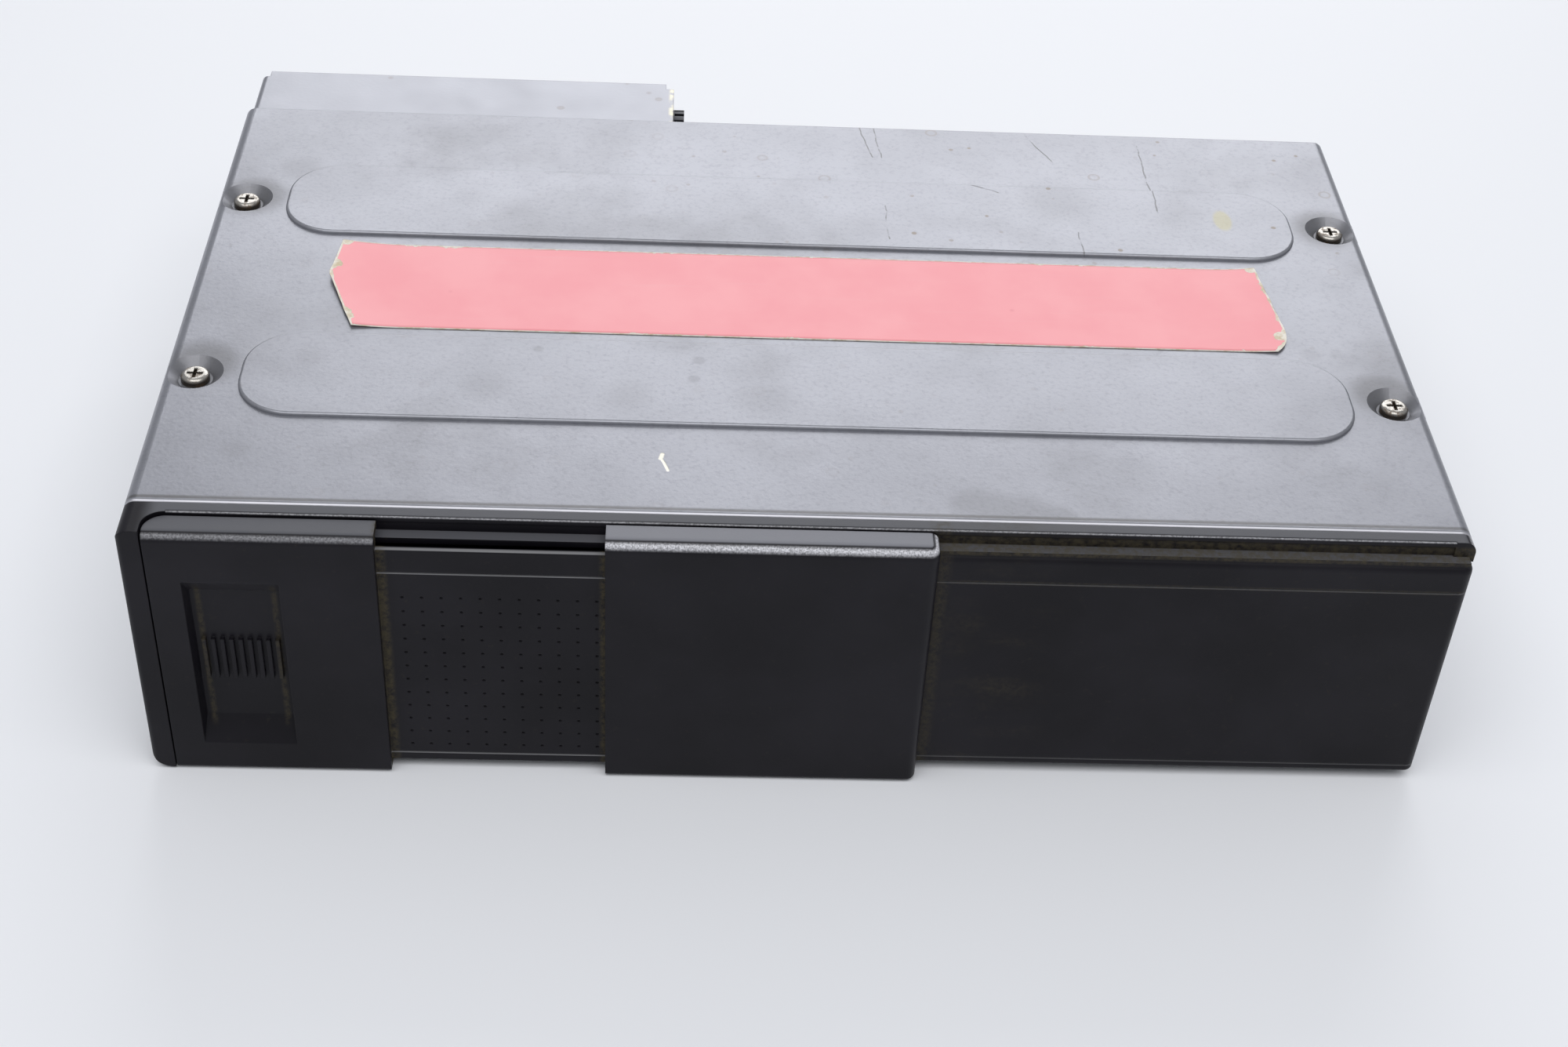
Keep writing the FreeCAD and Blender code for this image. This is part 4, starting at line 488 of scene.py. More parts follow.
class CHANGER_OT_paint_lid(bpy.types.Operator):
    """Paints the lid: satin grey with fine grain, smears, dried drops, scratches and a chip, with painted
    shade round the screw dishes and along the front fold and a painted highlight on the fold
    """
    bl_idname = "changer.paint_lid"
    bl_label = "Paint the lid"

    def execute(self, context):
        chosen = context.scene.lid_paint
        lid = Finish("satin_lid_paint", chosen.paint, metallic=chosen.metal, specular=0.55)
        clouds = lid.noise(0.055, detail=2.5, stretch=(0.8, 1.0, 1.0))
        mottle = lid.noise(0.009, detail=4.0, roughness=0.65)
        lid.coat(scaled(chosen.paint, 0.88), lid.between(clouds, 0.35, 0.7))
        salt = lid.between(lid.noise(0.0011, detail=3.0, roughness=0.7), 0.46, 0.74)
        lid.coat(scaled(chosen.paint, 0.55), salt, 0.3)
        smears_and_shade = lid.between(lid.noise(0.034, detail=5.0, shift=(0.3, 0.1, 0.0)), 0.48, 0.78)
        # The painted shade round the screw dishes joins the grease smears here.
        smears_and_shade = lid.either(lid.multiply(smears_and_shade, 0.26), self.grease_and_dish_shade(lid))
        lid.coat(chosen.grime_and_shade, smears_and_shade)
        lid.coat(chosen.stain, self.drops(lid))
        scratches = self.scratches(lid, chosen.scratch_width)
        lid.coat(chosen.grime_and_shade, scratches, 0.75)
        spot = lid.near_point(on_lid(*RESIN_SPOT), reach=0.0016, fade=0.0009, squash=0.5)
        lid.coat((0.36, 0.33, 0.18), spot, 0.55)
        back = lid.maths("SUBTRACT", lid.axis("Y"), LID[0].y)
        # Painted shade: a dark line along the lid's front fold.
        fold = lid.band(back, (0.75 * MM, 1.2 * MM), (2.2 * MM, 1.5 * MM))
        lid.coat(chosen.grime_and_shade, fold, 0.8)
        # Painted highlight on the front edge of the fold, where it turns down.
        lid.coat(chosen.fold_highlight, lid.between(back, 0.7 * MM, 0.4 * MM), lid.between(lid.facing("Z"), 0.3, 0.5))
        chip = lid.either(lid.mark(CHIP_UPPER, width=0.0006),
                          lid.mark(CHIP_LOWER, width=0.00042, wander=0.0006))
        lid.coat((0.72, 0.69, 0.60), chip)
        rough = lid.maths("MULTIPLY_ADD", mottle, 0.10, chosen.gloss_roughness - 0.05)
        lid.set("Roughness", lid.maths("MULTIPLY_ADD", smears_and_shade, 0.12, rough))
        lid.raise_by(lid.noise(chosen.grain, detail=2.0), chosen.grain_depth)
        lid.raise_by(lid.noise(0.012, detail=1.0), 0.00003)
        lid.raise_by(lid.either(scratches, chip), -0.00003)
        dress(lid.done(), "top_cover")
        return {"FINISHED"}

    def grease_and_dish_shade(self, lid):
        """Grease marks: a smear at the front, smudges and small spots, and painted shade round the four screw
        dishes.
        """
        marks = lid.multiply(lid.mark(SMEAR, width=0.0058, wander=0.004), 0.22)
        for x, depth, reach in SMUDGES:
            smudge = lid.near_point(on_lid(x, depth), reach * 0.2 * MM, reach * MM)
            marks = lid.either(marks, lid.multiply(smudge, 0.13))
        for x, depth, reach in SPOTS:
            spot = lid.near_point(on_lid(x, depth), reach * MM, 0.7 * MM)
            marks = lid.either(marks, lid.multiply(spot, 0.2))
        low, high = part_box("cover_screws")
        inset = (high.x - low.x) * SHADE_INSET
        for x in (low.x + inset, high.x - inset):
            for y in (low.y + inset, high.y - inset):
                # Painted shade round each screw dish, a little behind its screw.
                dish = lid.near_point((x, y + 2.0 * MM, LID_FLAT), reach=4.0 * MM, fade=6.0 * MM)
                marks = lid.either(marks, lid.multiply(dish, 0.5))
        return marks

    def drops(self, lid):
        """Dried drops and specks, denser behind the sticker on the right."""
        crowd = lid.between(lid.axis("X"), *DROPS_ACROSS)
        back = lid.between(lid.axis("Y"), *(LID_START + depth for depth in DROPS_BACK))
        crowd = lid.maths("MULTIPLY_ADD", lid.multiply(crowd, back), 0.75, 0.18)
        specks = lid.between(lid.cells(0.0052, shift=(0.11, 0.07, 0.0)), 0.14, 0.08)
        specks = lid.multiply(specks, lid.between(lid.noise(0.018, shift=(0.5, 0.2, 0.0)), 0.5, 0.62))
        rings = lid.cells(0.013, shift=(0.3, 0.4, 0.0))
        ring = lid.band(rings, (0.055, 0.10), (0.13, 0.10))
        return lid.multiply(lid.either(specks, lid.multiply(ring, 0.5)), crowd)

    def scratches(self, lid, width):
        """Long scratches behind the sticker and short scuffs."""
        whole = 0.0
        for ends in SCRATCHES:
            whole = lid.either(lid.mark(ends, width, wander=0.0016), whole)
        return lid.multiply(whole, lid.between(lid.noise(0.004, detail=4.0), 0.36, 0.52))


# ---------------------------------------------------------------- plated steel
EDGE_WEAR = 1.4 * MM, 0.4 * MM  # how far in from the housing's right edge the wear starts, and is full


def plated_steel(name, chosen, tint=(1.0, 1.0, 1.0), extra_roughness=0.0):
    """Sheet steel with plating, duller clouds and fine rolling lines."""
    plating, tarnish = (tuple(c * t for c, t in zip(plain, tint))
                        for plain in (chosen.plating, chosen.tarnish))
    steel = Finish(name, plating, metallic=0.85)
    clouds = steel.noise(0.03, detail=4.0)
    streaks = steel.noise(0.0012, detail=2.0, stretch=(0.06, 1.0, 1.0))
    steel.coat(tarnish, steel.between(clouds, 0.42, 0.72))
    smoothest = chosen.roughness - 0.06 + extra_roughness
    steel.set("Roughness", steel.maths("MULTIPLY_ADD", streaks, 0.16, smoothest))
    steel.raise_by(streaks, 0.000008)
    steel.raise_by(clouds, 0.00002)
    return steel


class CHANGER_OT_plate_case(bpy.types.Operator):
    """Plates the chassis and the rear panel, and paints the connector housing like the lid"""
    bl_idname = "changer.plate_case"
    bl_label = "Plate the case"

    def execute(self, context):
        chosen = context.scene.bare_steel
        dress(plated_steel("plated_chassis", chosen).done(), "bottom_chassis", "rear_panel")
        paint = context.scene.lid_paint
        housing = Finish("painted_housing", paint.paint, metallic=paint.metal, specular=0.55)
        clouds = housing.noise(0.04, detail=3.0)
        housing.coat(scaled(paint.paint, 0.9), housing.between(clouds, 0.4, 0.7))
        housing.coat(paint.stain, housing.between(housing.cells(0.009), 0.13, 0.08), 0.4)
        edge_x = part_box("rear_box")[1].x
        worn = housing.between(housing.axis("X"), *(edge_x - inset for inset in EDGE_WEAR))
        ragged = housing.between(housing.noise(0.003, detail=4.0), 0.38, 0.55)
        housing.coat((0.62, 0.58, 0.44), worn, housing.between(housing.facing("X"), 0.97, 0.8), ragged)
        housing.roughen(0.01, 0.1, paint.gloss_roughness - 0.05)
        housing.raise_by(housing.noise(paint.grain, detail=2.0), paint.grain_depth)
        dress(housing.done(soft_edge=0.0003), "rear_box")
        return {"FINISHED"}


# ---------------------------------------------------------------- front
# Heights above the table, and places across the grip door from its left edge, in metres.
SHEEN_FADES = 57.9 * MM, 58.5 * MM
SHEEN_RAMP = 4.0 * MM
CHANNEL = 57.2 * MM, 61.2 * MM
UPPER_GROOVE = 51.2 * MM
LOWER_GROOVE = 4.2 * MM
TONGUE_GROOVE = 51.8 * MM
TONGUE_TOP = 57.6 * MM
GRIP_EDGE = 42.7 * MM
RECESS_SIDES = 6.2 * MM, 24.4 * MM
RECESS_HEIGHTS = 7.5 * MM, 49.8 * MM
PANEL_DEPTH = 3.7 * MM
TONGUE_DEPTH = 1.9 * MM


# film scales the painted sheen on the top faces, glint the painted highlight on their rolled edges.
def moulded_plastic(name, chosen, dust_masks=None, roughness=None, film=1.0, sheen_from=-1.0, glint=1.0):
    """Black plastic with a moulded grain; dust gathers where the masks say.

    A painted sheen lies on the top faces to the right of sheen_from, and painted highlights glint on their
    rolled edges.
    """
    plastic = Finish(name, chosen.plastic, specular=0.18)
    rough = chosen.roughness if roughness is None else roughness
    faded = tuple(c * 1.7 + 0.002 for c in chosen.plastic)
    plastic.coat(faded, plastic.between(plastic.noise(0.03, detail=3.0), 0.3, 0.75))
    upper = plastic.multiply(plastic.between(plastic.axis("Z"), *SHEEN_FADES),
                             plastic.between(plastic.axis("X"), sheen_from, sheen_from + SHEEN_RAMP))
    up = plastic.facing("Z")
    # Painted sheen on the top faces.
    plastic.coat(scaled(chosen.top_sheen, film), plastic.between(up, 0.92, 0.99), upper)
    # Painted highlight: glints on the rolled edges of the top faces.
    glints = plastic.between(plastic.noise(0.00036, detail=1.0), 0.25, 0.75)
    glints = plastic.maths("MULTIPLY_ADD", glints, 0.62, 0.38)
    plastic.coat(scaled(chosen.glint, glint), plastic.band(up, (0.28, 0.7), (0.94, 0.74)), upper, glints)
    dust = plastic.between(plastic.noise(0.0016, detail=5.0, roughness=0.7), 0.58, 0.75)
    dust = plastic.multiply(dust, 0.10)
    if dust_masks:
        grit = plastic.between(plastic.noise(0.0012, detail=5.0, roughness=0.75), 0.30, 0.66)
        dust = plastic.either(dust, plastic.multiply(dust_masks(plastic), grit))
    plastic.coat(chosen.dust, dust)
    varied = plastic.maths("MULTIPLY_ADD", plastic.noise(0.006, detail=4.0), 0.12, rough - 0.06)
    plastic.set("Roughness", plastic.maths("MULTIPLY_ADD", dust, 0.3, varied))
    plastic.raise_by(plastic.noise(chosen.grain, detail=2.0), 0.000010)
    return plastic


class CHANGER_OT_mould_front(bpy.types.Operator):
    """Finishes the front moulding, the grip door, the middle cover and the eject button"""
    bl_idname = "changer.mould_front"
    bl_label = "Mould the front"

    def execute(self, context):
        chosen = context.scene.front_moulding
        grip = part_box("grip_door")
        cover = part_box("centre_cover")

        def strip(plastic, middle, width):
            """1 within a width of an upright line."""
            offset = plastic.maths("ABSOLUTE", plastic.maths("SUBTRACT", plastic.axis("X"), middle))
            return plastic.between(offset, width, width * 0.15)

        def behind_face(plastic, start, end):
            """0 up to one depth behind the front face and 1 from the other, or the other way round."""
            return plastic.between(plastic.axis("Y"), FRONT_FACE + start, FRONT_FACE + end)

        def door_dust(plastic):
            """Dust beside the two covers on the tongue, and round the finger recess."""
            beside = plastic.either(strip(plastic, grip[0].x + GRIP_EDGE + 0.6 * MM, 1.7 * MM),
                                    strip(plastic, cover[0].x - 0.2 * MM, 1.3 * MM))
            beside = plastic.multiply(beside, behind_face(plastic, 1.0 * MM, 1.7 * MM))
            z = plastic.axis("Z")
            low, high = RECESS_HEIGHTS
            left, right = (grip[0].x + side for side in RECESS_SIDES)
            inside = plastic.band(z, (low + 3.0 * MM, low + 6.0 * MM), (high, high - 1.0 * MM))
            corner = plastic.either(strip(plastic, left + 2.2 * MM, 0.9 * MM),
                                    strip(plastic, right - 1.6 * MM, 0.9 * MM))
            corner = plastic.multiply(corner, inside, behind_face(plastic, 0.3 * MM, 1.6 * MM))
            return plastic.either(plastic.multiply(beside, 0.95), plastic.multiply(corner, 0.6))

        def panel_dust(plastic):
            """Dust in the grooves, in the channel under the lip and beside the middle cover."""
            z = plastic.axis("Z")
            groove = plastic.maths("ABSOLUTE", plastic.maths("SUBTRACT", z, UPPER_GROOVE))
            groove = plastic.between(groove, 0.7 * MM, 0.15 * MM)
            low, high = CHANNEL
            channel = plastic.band(z, (low, low + 0.7 * MM), (high, high - 1.0 * MM))
            beside = strip(plastic, cover[1].x + 0.5 * MM, 3.0 * MM)
            olive = strip(plastic, cover[1].x + 12.0 * MM, 16.0 * MM)
            patches = plastic.noise(0.012, detail=4.0, stretch=(0.5, 1, 1.3))
            olive = plastic.multiply(olive, plastic.between(patches, 0.45, 0.68))
            to_right = plastic.between(plastic.axis("X"), cover[0].x, cover[1].x)
            channel = plastic.multiply(channel, to_right)
            return plastic.either(plastic.multiply(groove, to_right, 0.35), plastic.multiply(channel, 0.7),
                                  plastic.multiply(beside, 0.5), plastic.multiply(olive, 0.28))

        def groove_highlights(plastic, heights, depth, weight):
            """Painted highlights on the lower lips of the shallow grooves at some heights, on a face that
            lies at a depth.
            """
            lines = 0.0
            for height in heights:
                off = plastic.maths("SUBTRACT", plastic.axis("Z"), height - 0.17 * MM)
                off = plastic.maths("ABSOLUTE", off)
                lines = plastic.either(plastic.between(off, 0.22 * MM, 0.08 * MM), lines)
            plastic.coat(chosen.line, lines, behind_face(plastic, depth + 0.9 * MM, depth + 0.5 * MM),
                         behind_face(plastic, depth - 0.6 * MM, depth - 0.2 * MM), weight)

        # The film and glint shares set each piece's painted sheen and painted highlights.
        front = moulded_plastic("moulded_front", chosen, panel_dust, film=0.8, sheen_from=grip[0].x - 1.5 * MM,
                                glint=0.5)
        # Painted highlights along the grooves of the right panel.
        groove_highlights(front, (UPPER_GROOVE, LOWER_GROOVE), PANEL_DEPTH, 0.3)
        dress(front.done(chosen.soft_edge), "front_bezel")
        door = moulded_plastic("moulded_grip_door", chosen, door_dust, film=0.85, glint=0.36)
        # Painted highlights along the tongue's top edge and its grooves.
        groove_highlights(door, (TONGUE_TOP, TONGUE_GROOVE, LOWER_GROOVE), TONGUE_DEPTH, 0.8)
        dress(door.done(chosen.soft_edge), "grip_door")
        sliding = moulded_plastic("moulded_cover", chosen, roughness=0.36, film=1.7)
        dress(sliding.done(chosen.soft_edge * 1.4), "centre_cover")
        button = Finish("button_plastic", base=(0.05, 0.05, 0.055), specular=0.4)
        button.roughen(0.002, 0.2, 0.3)
        button.raise_by(button.noise(0.0005), 0.000015)
        dress(button.done(soft_edge=0.3 * MM), "eject_button")
        return {"FINISHED"}


# ---------------------------------------------------------------- sticker
# Shares go from -1 at the sticker's front edge to 1 at its rear edge. The rest is in metres.
LEFT_POINT = 0.15       # share at which the left end reaches furthest
LEFT_CLIP = 0.0058      # what the front corner loses for each share before that point
LEFT_SLANT = 0.0015     # what the rear corner loses for each share behind it
RIGHT_CORNER = -0.57    # share at which the right end reaches furthest
RIGHT_SLANT = 0.0016    # what the right end loses for each share behind it
RIGHT_ROUND = 0.0028    # what the rounded front corner loses
ROUNDING = 2.5          # power of that rounding
END_MARGIN = 0.0002     # room left at both ends
LEFT_REACH = 0.017      # how far the lift of the left end reaches in
RIGHT_REACH = 0.013     # how far the lift of the right end reaches in
REST_GAP = 0.00005      # what the flat middle clears the lid by
HAIR = 0.00002          # room kept inside the sticker's box
SHEET_THICKNESS = 0.00012


class CHANGER_OT_lay_sticker(bpy.types.Operator):
    """Makes the bare red sticker: a thin sheet with lifted ends, clipped corners and torn white edges"""
    bl_idname = "changer.lay_sticker"
    bl_label = "Lay the sticker"

    def execute(self, context):
        chosen = context.scene.sticker_film
        low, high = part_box("cover_label")
        rows = max(12, chosen.steps // 8)
        middle_y = (low.y + high.y) / 2

        def outline(share_along, share_across):
            """Point of the sheet: the ends slant, the front corners are cut, the long sides are ragged."""
            y = low.y + (high.y - low.y) * share_across
            off = (share_across - 0.5) * 2
            left = low.x + END_MARGIN + max(LEFT_CLIP * (LEFT_POINT - off), LEFT_SLANT * (off - LEFT_POINT))
            corner = max(0.0, (RIGHT_CORNER - off) / (1 + RIGHT_CORNER))
            right = high.x - END_MARGIN - RIGHT_SLANT * max(0.0, off - RIGHT_CORNER)
            right -= RIGHT_ROUND * corner ** ROUNDING
            ragged = noise.noise(Vector((share_across * 9.0, 3.0, share_along)))
            x = left + (right - left) * share_along
            x += 0.0003 * ragged * (1.0 if share_along in (0.0, 1.0) else 0.0)
            side = noise.noise(Vector((x * 260.0, 7.0 if off > 0 else 2.0, 0.0)))
            y += math.copysign(0.00022 * (side - 0.5) * (abs(off) > 0.98), off)
            return Vector((x, min(max(y, low.y + HAIR), high.y - HAIR), 0.0))

        def lift(point):
            """Height of the sheet above the lid."""
            from_left = max(0.0, 1.0 - (point.x - low.x) / LEFT_REACH)
            from_right = max(0.0, 1.0 - (high.x - point.x) / RIGHT_REACH)
            across = (point.y - middle_y) / (high.y - low.y) * 2
            left = chosen.left_lift * from_left ** 2 * (1.0 - 0.05 * across)
            right = chosen.right_lift * from_right ** 2 * (1.0 + 0.3 * across)
            ripple = 0.00003 * noise.noise(Vector((point.x * 160.0, point.y * 90.0, 5.0)))
            highest = high.z - LID_FLAT - SHEET_THICKNESS - HAIR
            return min(left + right + max(0.0, ripple) + REST_GAP, highest)

        def make(work):
            grids = []
            for level in (0.0, SHEET_THICKNESS):
                grid = []
                for row in range(rows + 1):
                    line = []
                    for step in range(chosen.steps + 1):
                        share_along = 0.5 - 0.5 * math.cos(math.pi * step / chosen.steps)
                        point = outline(share_along, row / rows)
                        point.z = LID_FLAT + lift(point) + level
                        line.append(work.verts.new(point))
                    grid.append(line)
                grids.append(grid)
            for grid in grids:
                skin(work, grid, closed_ring=False, caps=False)
            under, over = grids
            for end in (0, -1):
                edges = [[row[end] for row in grid] for grid in grids]
                skin(work, edges, closed_ring=False, caps=False)
                skin(work, [under[end], over[end]], closed_ring=False, caps=False)

        sticker = piece("sticker", make, self.film(chosen, low, high), "case")
        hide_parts("cover_label")
        return {"FINISHED"}

    def film(self, chosen, low, high):
        """Faded red face with darker dents, white where it is torn."""
        film = Finish("faded_sticker", chosen.face, specular=0.35)
        x, y = film.axis("X"), film.axis("Y")
        half = (high.y - low.y) / 2
        off = film.maths("MULTIPLY_ADD", y, 1 / half, -(low.y + high.y) / 2 / half)
        ragged = film.noise(0.0028, detail=4.0, roughness=0.7, stretch=(0.45, 1.0, 1.0))
        tear = film.maths("MULTIPLY", film.between(ragged, 0.54, 0.74), chosen.tear)
        to_side = film.maths("MINIMUM", film.maths("SUBTRACT", y, low.y), film.maths("SUBTRACT", high.y, y))
        side_torn = film.maths("LESS_THAN", to_side, film.maths("ADD", tear, 0.00030))
        end_ragged = film.maths("MULTIPLY", film.between(film.noise(0.004, detail=4.0), 0.48, 0.74), 0.0018)
        end_ragged = film.maths("ADD", end_ragged, 0.00042)
        clip = film.maths("MULTIPLY_ADD", off, -LEFT_CLIP, LEFT_CLIP * LEFT_POINT)
        slant = film.maths("MULTIPLY_ADD", off, LEFT_SLANT, -LEFT_SLANT * LEFT_POINT)
        left_end = film.maths("ADD", film.maths("MAXIMUM", clip, slant), low.x + END_MARGIN)
        left_end = film.maths("SUBTRACT", x, left_end)
        left_torn = film.maths("LESS_THAN", left_end, end_ragged)
        slant = film.maths("MAXIMUM", film.maths("SUBTRACT", off, RIGHT_CORNER), 0.0)
        corner = film.maths("MULTIPLY_ADD", off, -1 / (1 + RIGHT_CORNER), RIGHT_CORNER / (1 + RIGHT_CORNER))
        corner = film.maths("POWER", film.maths("MAXIMUM", corner, 0.0), ROUNDING)
        taken = film.maths("MULTIPLY_ADD", slant, RIGHT_SLANT, film.maths("MULTIPLY", corner, RIGHT_ROUND))
        right_end = film.maths("SUBTRACT", film.maths("SUBTRACT", high.x - END_MARGIN, x), taken)
        right_torn = film.maths("LESS_THAN", right_end, film.maths("MULTIPLY", end_ragged, 0.8))
        torn = film.either(side_torn, left_torn, right_torn)
        corners = (
            (low.x + 0.0034, low.y + 0.36 * half, 0.0007), (high.x - 0.0014, low.y + 0.34 * half, 0.0008),
            (low.x + 0.0022, high.y - 0.0004, 0.0008), (high.x - 0.0034, high.y - 0.0004, 0.0006),
        )
        for patch_x, patch_y, reach in corners:
            patch = film.near_point((patch_x, patch_y, 0.0), reach, fade=0.0018)
            patch = film.multiply(patch, film.maths("MULTIPLY_ADD", film.noise(0.0016, detail=4.0), 1.6, 0.1))
            torn = film.either(torn, film.maths("GREATER_THAN", patch, 0.5))
        clouds = film.noise(0.02, detail=3.0)
        film.coat((0.93, 0.385, 0.415), film.between(clouds, 0.3, 0.75))
        lines = film.between(film.noise(0.0016, detail=2.0, stretch=(0.04, 1.0, 1.0)), 0.6, 0.8)
        film.coat((0.88, 0.47, 0.50), lines, 0.12)
        dents = film.between(film.cells(0.021, shift=(0.07, 0.02, 0.0)), 0.06, 0.03)
        film.coat((0.62, 0.12, 0.14), dents, 0.6)
        paper = film.blend(film.between(film.noise(0.002), 0.4, 0.7), chosen.paper, (0.62, 0.52, 0.36))
        film.coat(paper, torn)
        film.set("Roughness", film.maths("MULTIPLY_ADD", torn, 0.35, 0.42))
        film.raise_by(film.noise(0.0007), 0.000010)
        film.raise_by(torn, -0.00004)
        return film.done()


# ---------------------------------------------------------------- screws and socket
CROSS_DEPTHS = 1.15 * MM, 0.35 * MM  # below the lid: the dark floor of the crosses, and the bright tops


class CHANGER_OT_turn_screws(bpy.types.Operator):
    """Finishes the screws: plated steel, darker and rusty in the crosses"""
    bl_idname = "changer.turn_screws"
    bl_label = "Turn the screws"

    def execute(self, context):
        steel = Finish("nickel_screws", (0.10, 0.085, 0.07), metallic=0.9)
        tops = steel.between(steel.axis("Z"), *(LID_FLAT - depth for depth in CROSS_DEPTHS))
        rust = steel.between(steel.noise(0.0014, detail=5.0, roughness=0.7), 0.48, 0.66)
        steel.coat((0.46, 0.44, 0.41), tops)
        steel.coat((0.13, 0.08, 0.045), rust, 0.7)
        steel.set("Roughness", steel.maths("MULTIPLY_ADD", rust, 0.4, 0.26))
        steel.raise_by(steel.noise(0.0006, detail=3.0), 0.00003)
        dress(steel.done(soft_edge=0.0003), "cover_screws")
        clean = mottled("zinc_screws", (0.40, 0.40, 0.41), (0.55, 0.55, 0.56), 0.001, (0.0008, 0.2, 0.25),
                        metallic=0.9)
        clean.raise_by(clean.noise(0.0005), 0.00001)
        dress(clean.done(soft_edge=0.0002), "bezel_screws", "rear_screws", "board_screws")
        return {"FINISHED"}


class CHANGER_OT_fit_socket(bpy.types.Operator):
    """Finishes the cable socket and its contacts"""
    bl_idname = "changer.fit_socket"
    bl_label = "Fit the socket"

    def execute(self, context):
        chosen = context.scene.front_moulding
        moulding = moulded_plastic("socket_moulding", chosen, roughness=0.5)
        dress(moulding.done(soft_edge=0.3 * MM), "cable_socket")
        brass = mottled("contact_brass", (0.72, 0.50, 0.18), (0.55, 0.36, 0.13), 0.0015, (0.0007, 0.2, 0.2),
                        detail=3.0, metallic=1.0)
        dress(brass.done(soft_edge=0.00015), "socket_pins")
        return {"FINISHED"}


# ---------------------------------------------------------------- springs, dampers and ribbon
class CHANGER_OT_wind_springs(bpy.types.Operator):
    """Winds the hanging springs and the lever's spring from wire"""
    bl_idname = "changer.wind_springs"
    bl_label = "Wind the springs"

    def execute(self, context):
        chosen = context.scene.windings
        wire = mottled("spring_wire", (0.34, 0.34, 0.35), (0.50, 0.50, 0.51), 0.002, (0.0006, 0.2, 0.22),
                       metallic=1.0).done()
        for node in ("side_springs", "dial_springs"):
            low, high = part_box(node)
            radius = (high.y - low.y) / 2
            middle_y = (low.y + high.y) / 2
            for side, x in (("left", low.x + radius), ("right", high.x - radius)):
                half = chosen.wire / 2
                path = coil_path(Vector((x, middle_y, 0.0)), low.z + half, high.z - half, radius - half,
                                 chosen.turns, hook=0.0012)
                coil = piece(f"{node}_{side}_wire", lambda work: tube(work, path, half), wire, None)
                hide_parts(node)
                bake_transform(coil)
        low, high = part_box("eject_spring")
        half = chosen.lever_wire / 2
        path = coil_path((low + high) / 2, low.z + half, high.z - half, (high.x - low.x) / 2 - half,
                         chosen.lever_turns)
        coil = piece("lever_spring_wire", lambda work: tube(work, path, half), wire, "mechanism")
        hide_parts("eject_spring")
        return {"FINISHED"}


class CHANGER_OT_mould_dampers(bpy.types.Operator):
    """Moulds the rubber dampers as soft bellows between the floor and the floating frame"""
    bl_idname = "changer.mould_dampers"
    bl_label = "Mould the dampers"

    def execute(self, context):
        chosen = context.scene.windings
        rubber = mottled("damper_rubber", (0.014, 0.014, 0.015), (0.035, 0.034, 0.033), 0.004,
                         (0.001, 0.2, 0.55), detail=3.0, specular=0.3)
        rubber.raise_by(rubber.noise(0.0008), 0.00002)
        material = rubber.done()
        low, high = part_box("dampers")
        outer = 6.5 * MM
        waist = 0.74
        swell = 0.22
        steps = 12 * chosen.bellows
        for row, y in (("front", low.y + outer), ("back", high.y - outer)):
            for side, x in (("left", low.x + outer), ("right", high.x - outer)):
                profile = []
                for step in range(steps + 1):
                    rise = step / steps
                    wave = 0.5 + 0.5 * math.cos(2 * math.pi * chosen.bellows * rise)
                    profile.append((outer * (waist + swell * wave), low.z + (high.z - low.z) * rise))
                centre = Vector((x, y, 0.0))
                bellows = piece(f"damper_{row}_{side}", lambda work: spun(work, centre, profile), material,
                                None)
                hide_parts("dampers")
                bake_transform(bellows)
        return {"FINISHED"}


class CHANGER_OT_lay_ribbon(bpy.types.Operator):
    """Lays the flat ribbon from the floating frame's floor up to the drive"""
    bl_idname = "changer.lay_ribbon"
    bl_label = "Lay the ribbon"

    def execute(self, context):
        chosen = context.scene.windings
        low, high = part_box("flex_cable")
        film = Finish("ribbon_film", (0.42, 0.20, 0.06), specular=0.4)
        tracks = film.node("ShaderNodeTexWave", wave_type="BANDS", bands_direction="Y")
        film.feed(tracks.inputs["Vector"], film.place)
        tracks.inputs["Scale"].default_value = 314.0  # one track to the millimetre
        film.coat((0.62, 0.36, 0.14), film.between(tracks.outputs["Fac"], 0.45, 0.6))
        film.roughen(0.003, 0.2, 0.25)
        film.raise_by(tracks.outputs["Fac"], 0.00003)
        upright_x = high.x - chosen.ribbon
        along_board = 22 * MM
        along_deck = 7.5 * MM
        bend = 3.0 * MM
        clear = 0.15 * MM
        bend_steps = 12
        rise_steps = 24

        def quarter_turn(middle_z, start):
            """Points of a bend about a level line, from a starting angle."""
            middle_x = upright_x - bend
            angles = [start + math.pi / 2 * step / bend_steps for step in range(bend_steps + 1)]
            return [Vector((middle_x + bend * math.cos(angle), 0.0, middle_z + bend * math.sin(angle)))
                    for angle in angles]

        line = [Vector((upright_x - along_board, 0.0, low.z + clear))]
        line += quarter_turn(low.z + clear + bend, -math.pi / 2)
        for step in range(1, rise_steps):
            height = low.z + bend + (high.z - low.z - 2 * bend) * step / rise_steps
            line.append(Vector((upright_x, 0.0, height)))
        line += quarter_turn(high.z - bend - clear, 0.0)
        line.append(Vector((upright_x - along_deck, 0.0, high.z - clear)))

        def make(work):
            rings = []
            for index, point in enumerate(line):
                along = (line[min(index + 1, len(line) - 1)] - line[max(index - 1, 0)]).normalized()
                across = Vector((-along.z, 0.0, along.x)) * chosen.ribbon / 2
                rings.append([work.verts.new(Vector((point.x, y, point.z)) + sign * across)
                              for y, sign in ((low.y, -1), (high.y, -1), (high.y, 1), (low.y, 1))])
            skin(work, rings)

        ribbon = piece("drive_ribbon", make, film.done(), None, smooth=False)
        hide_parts("flex_cable")
        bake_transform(ribbon)
        return {"FINISHED"}


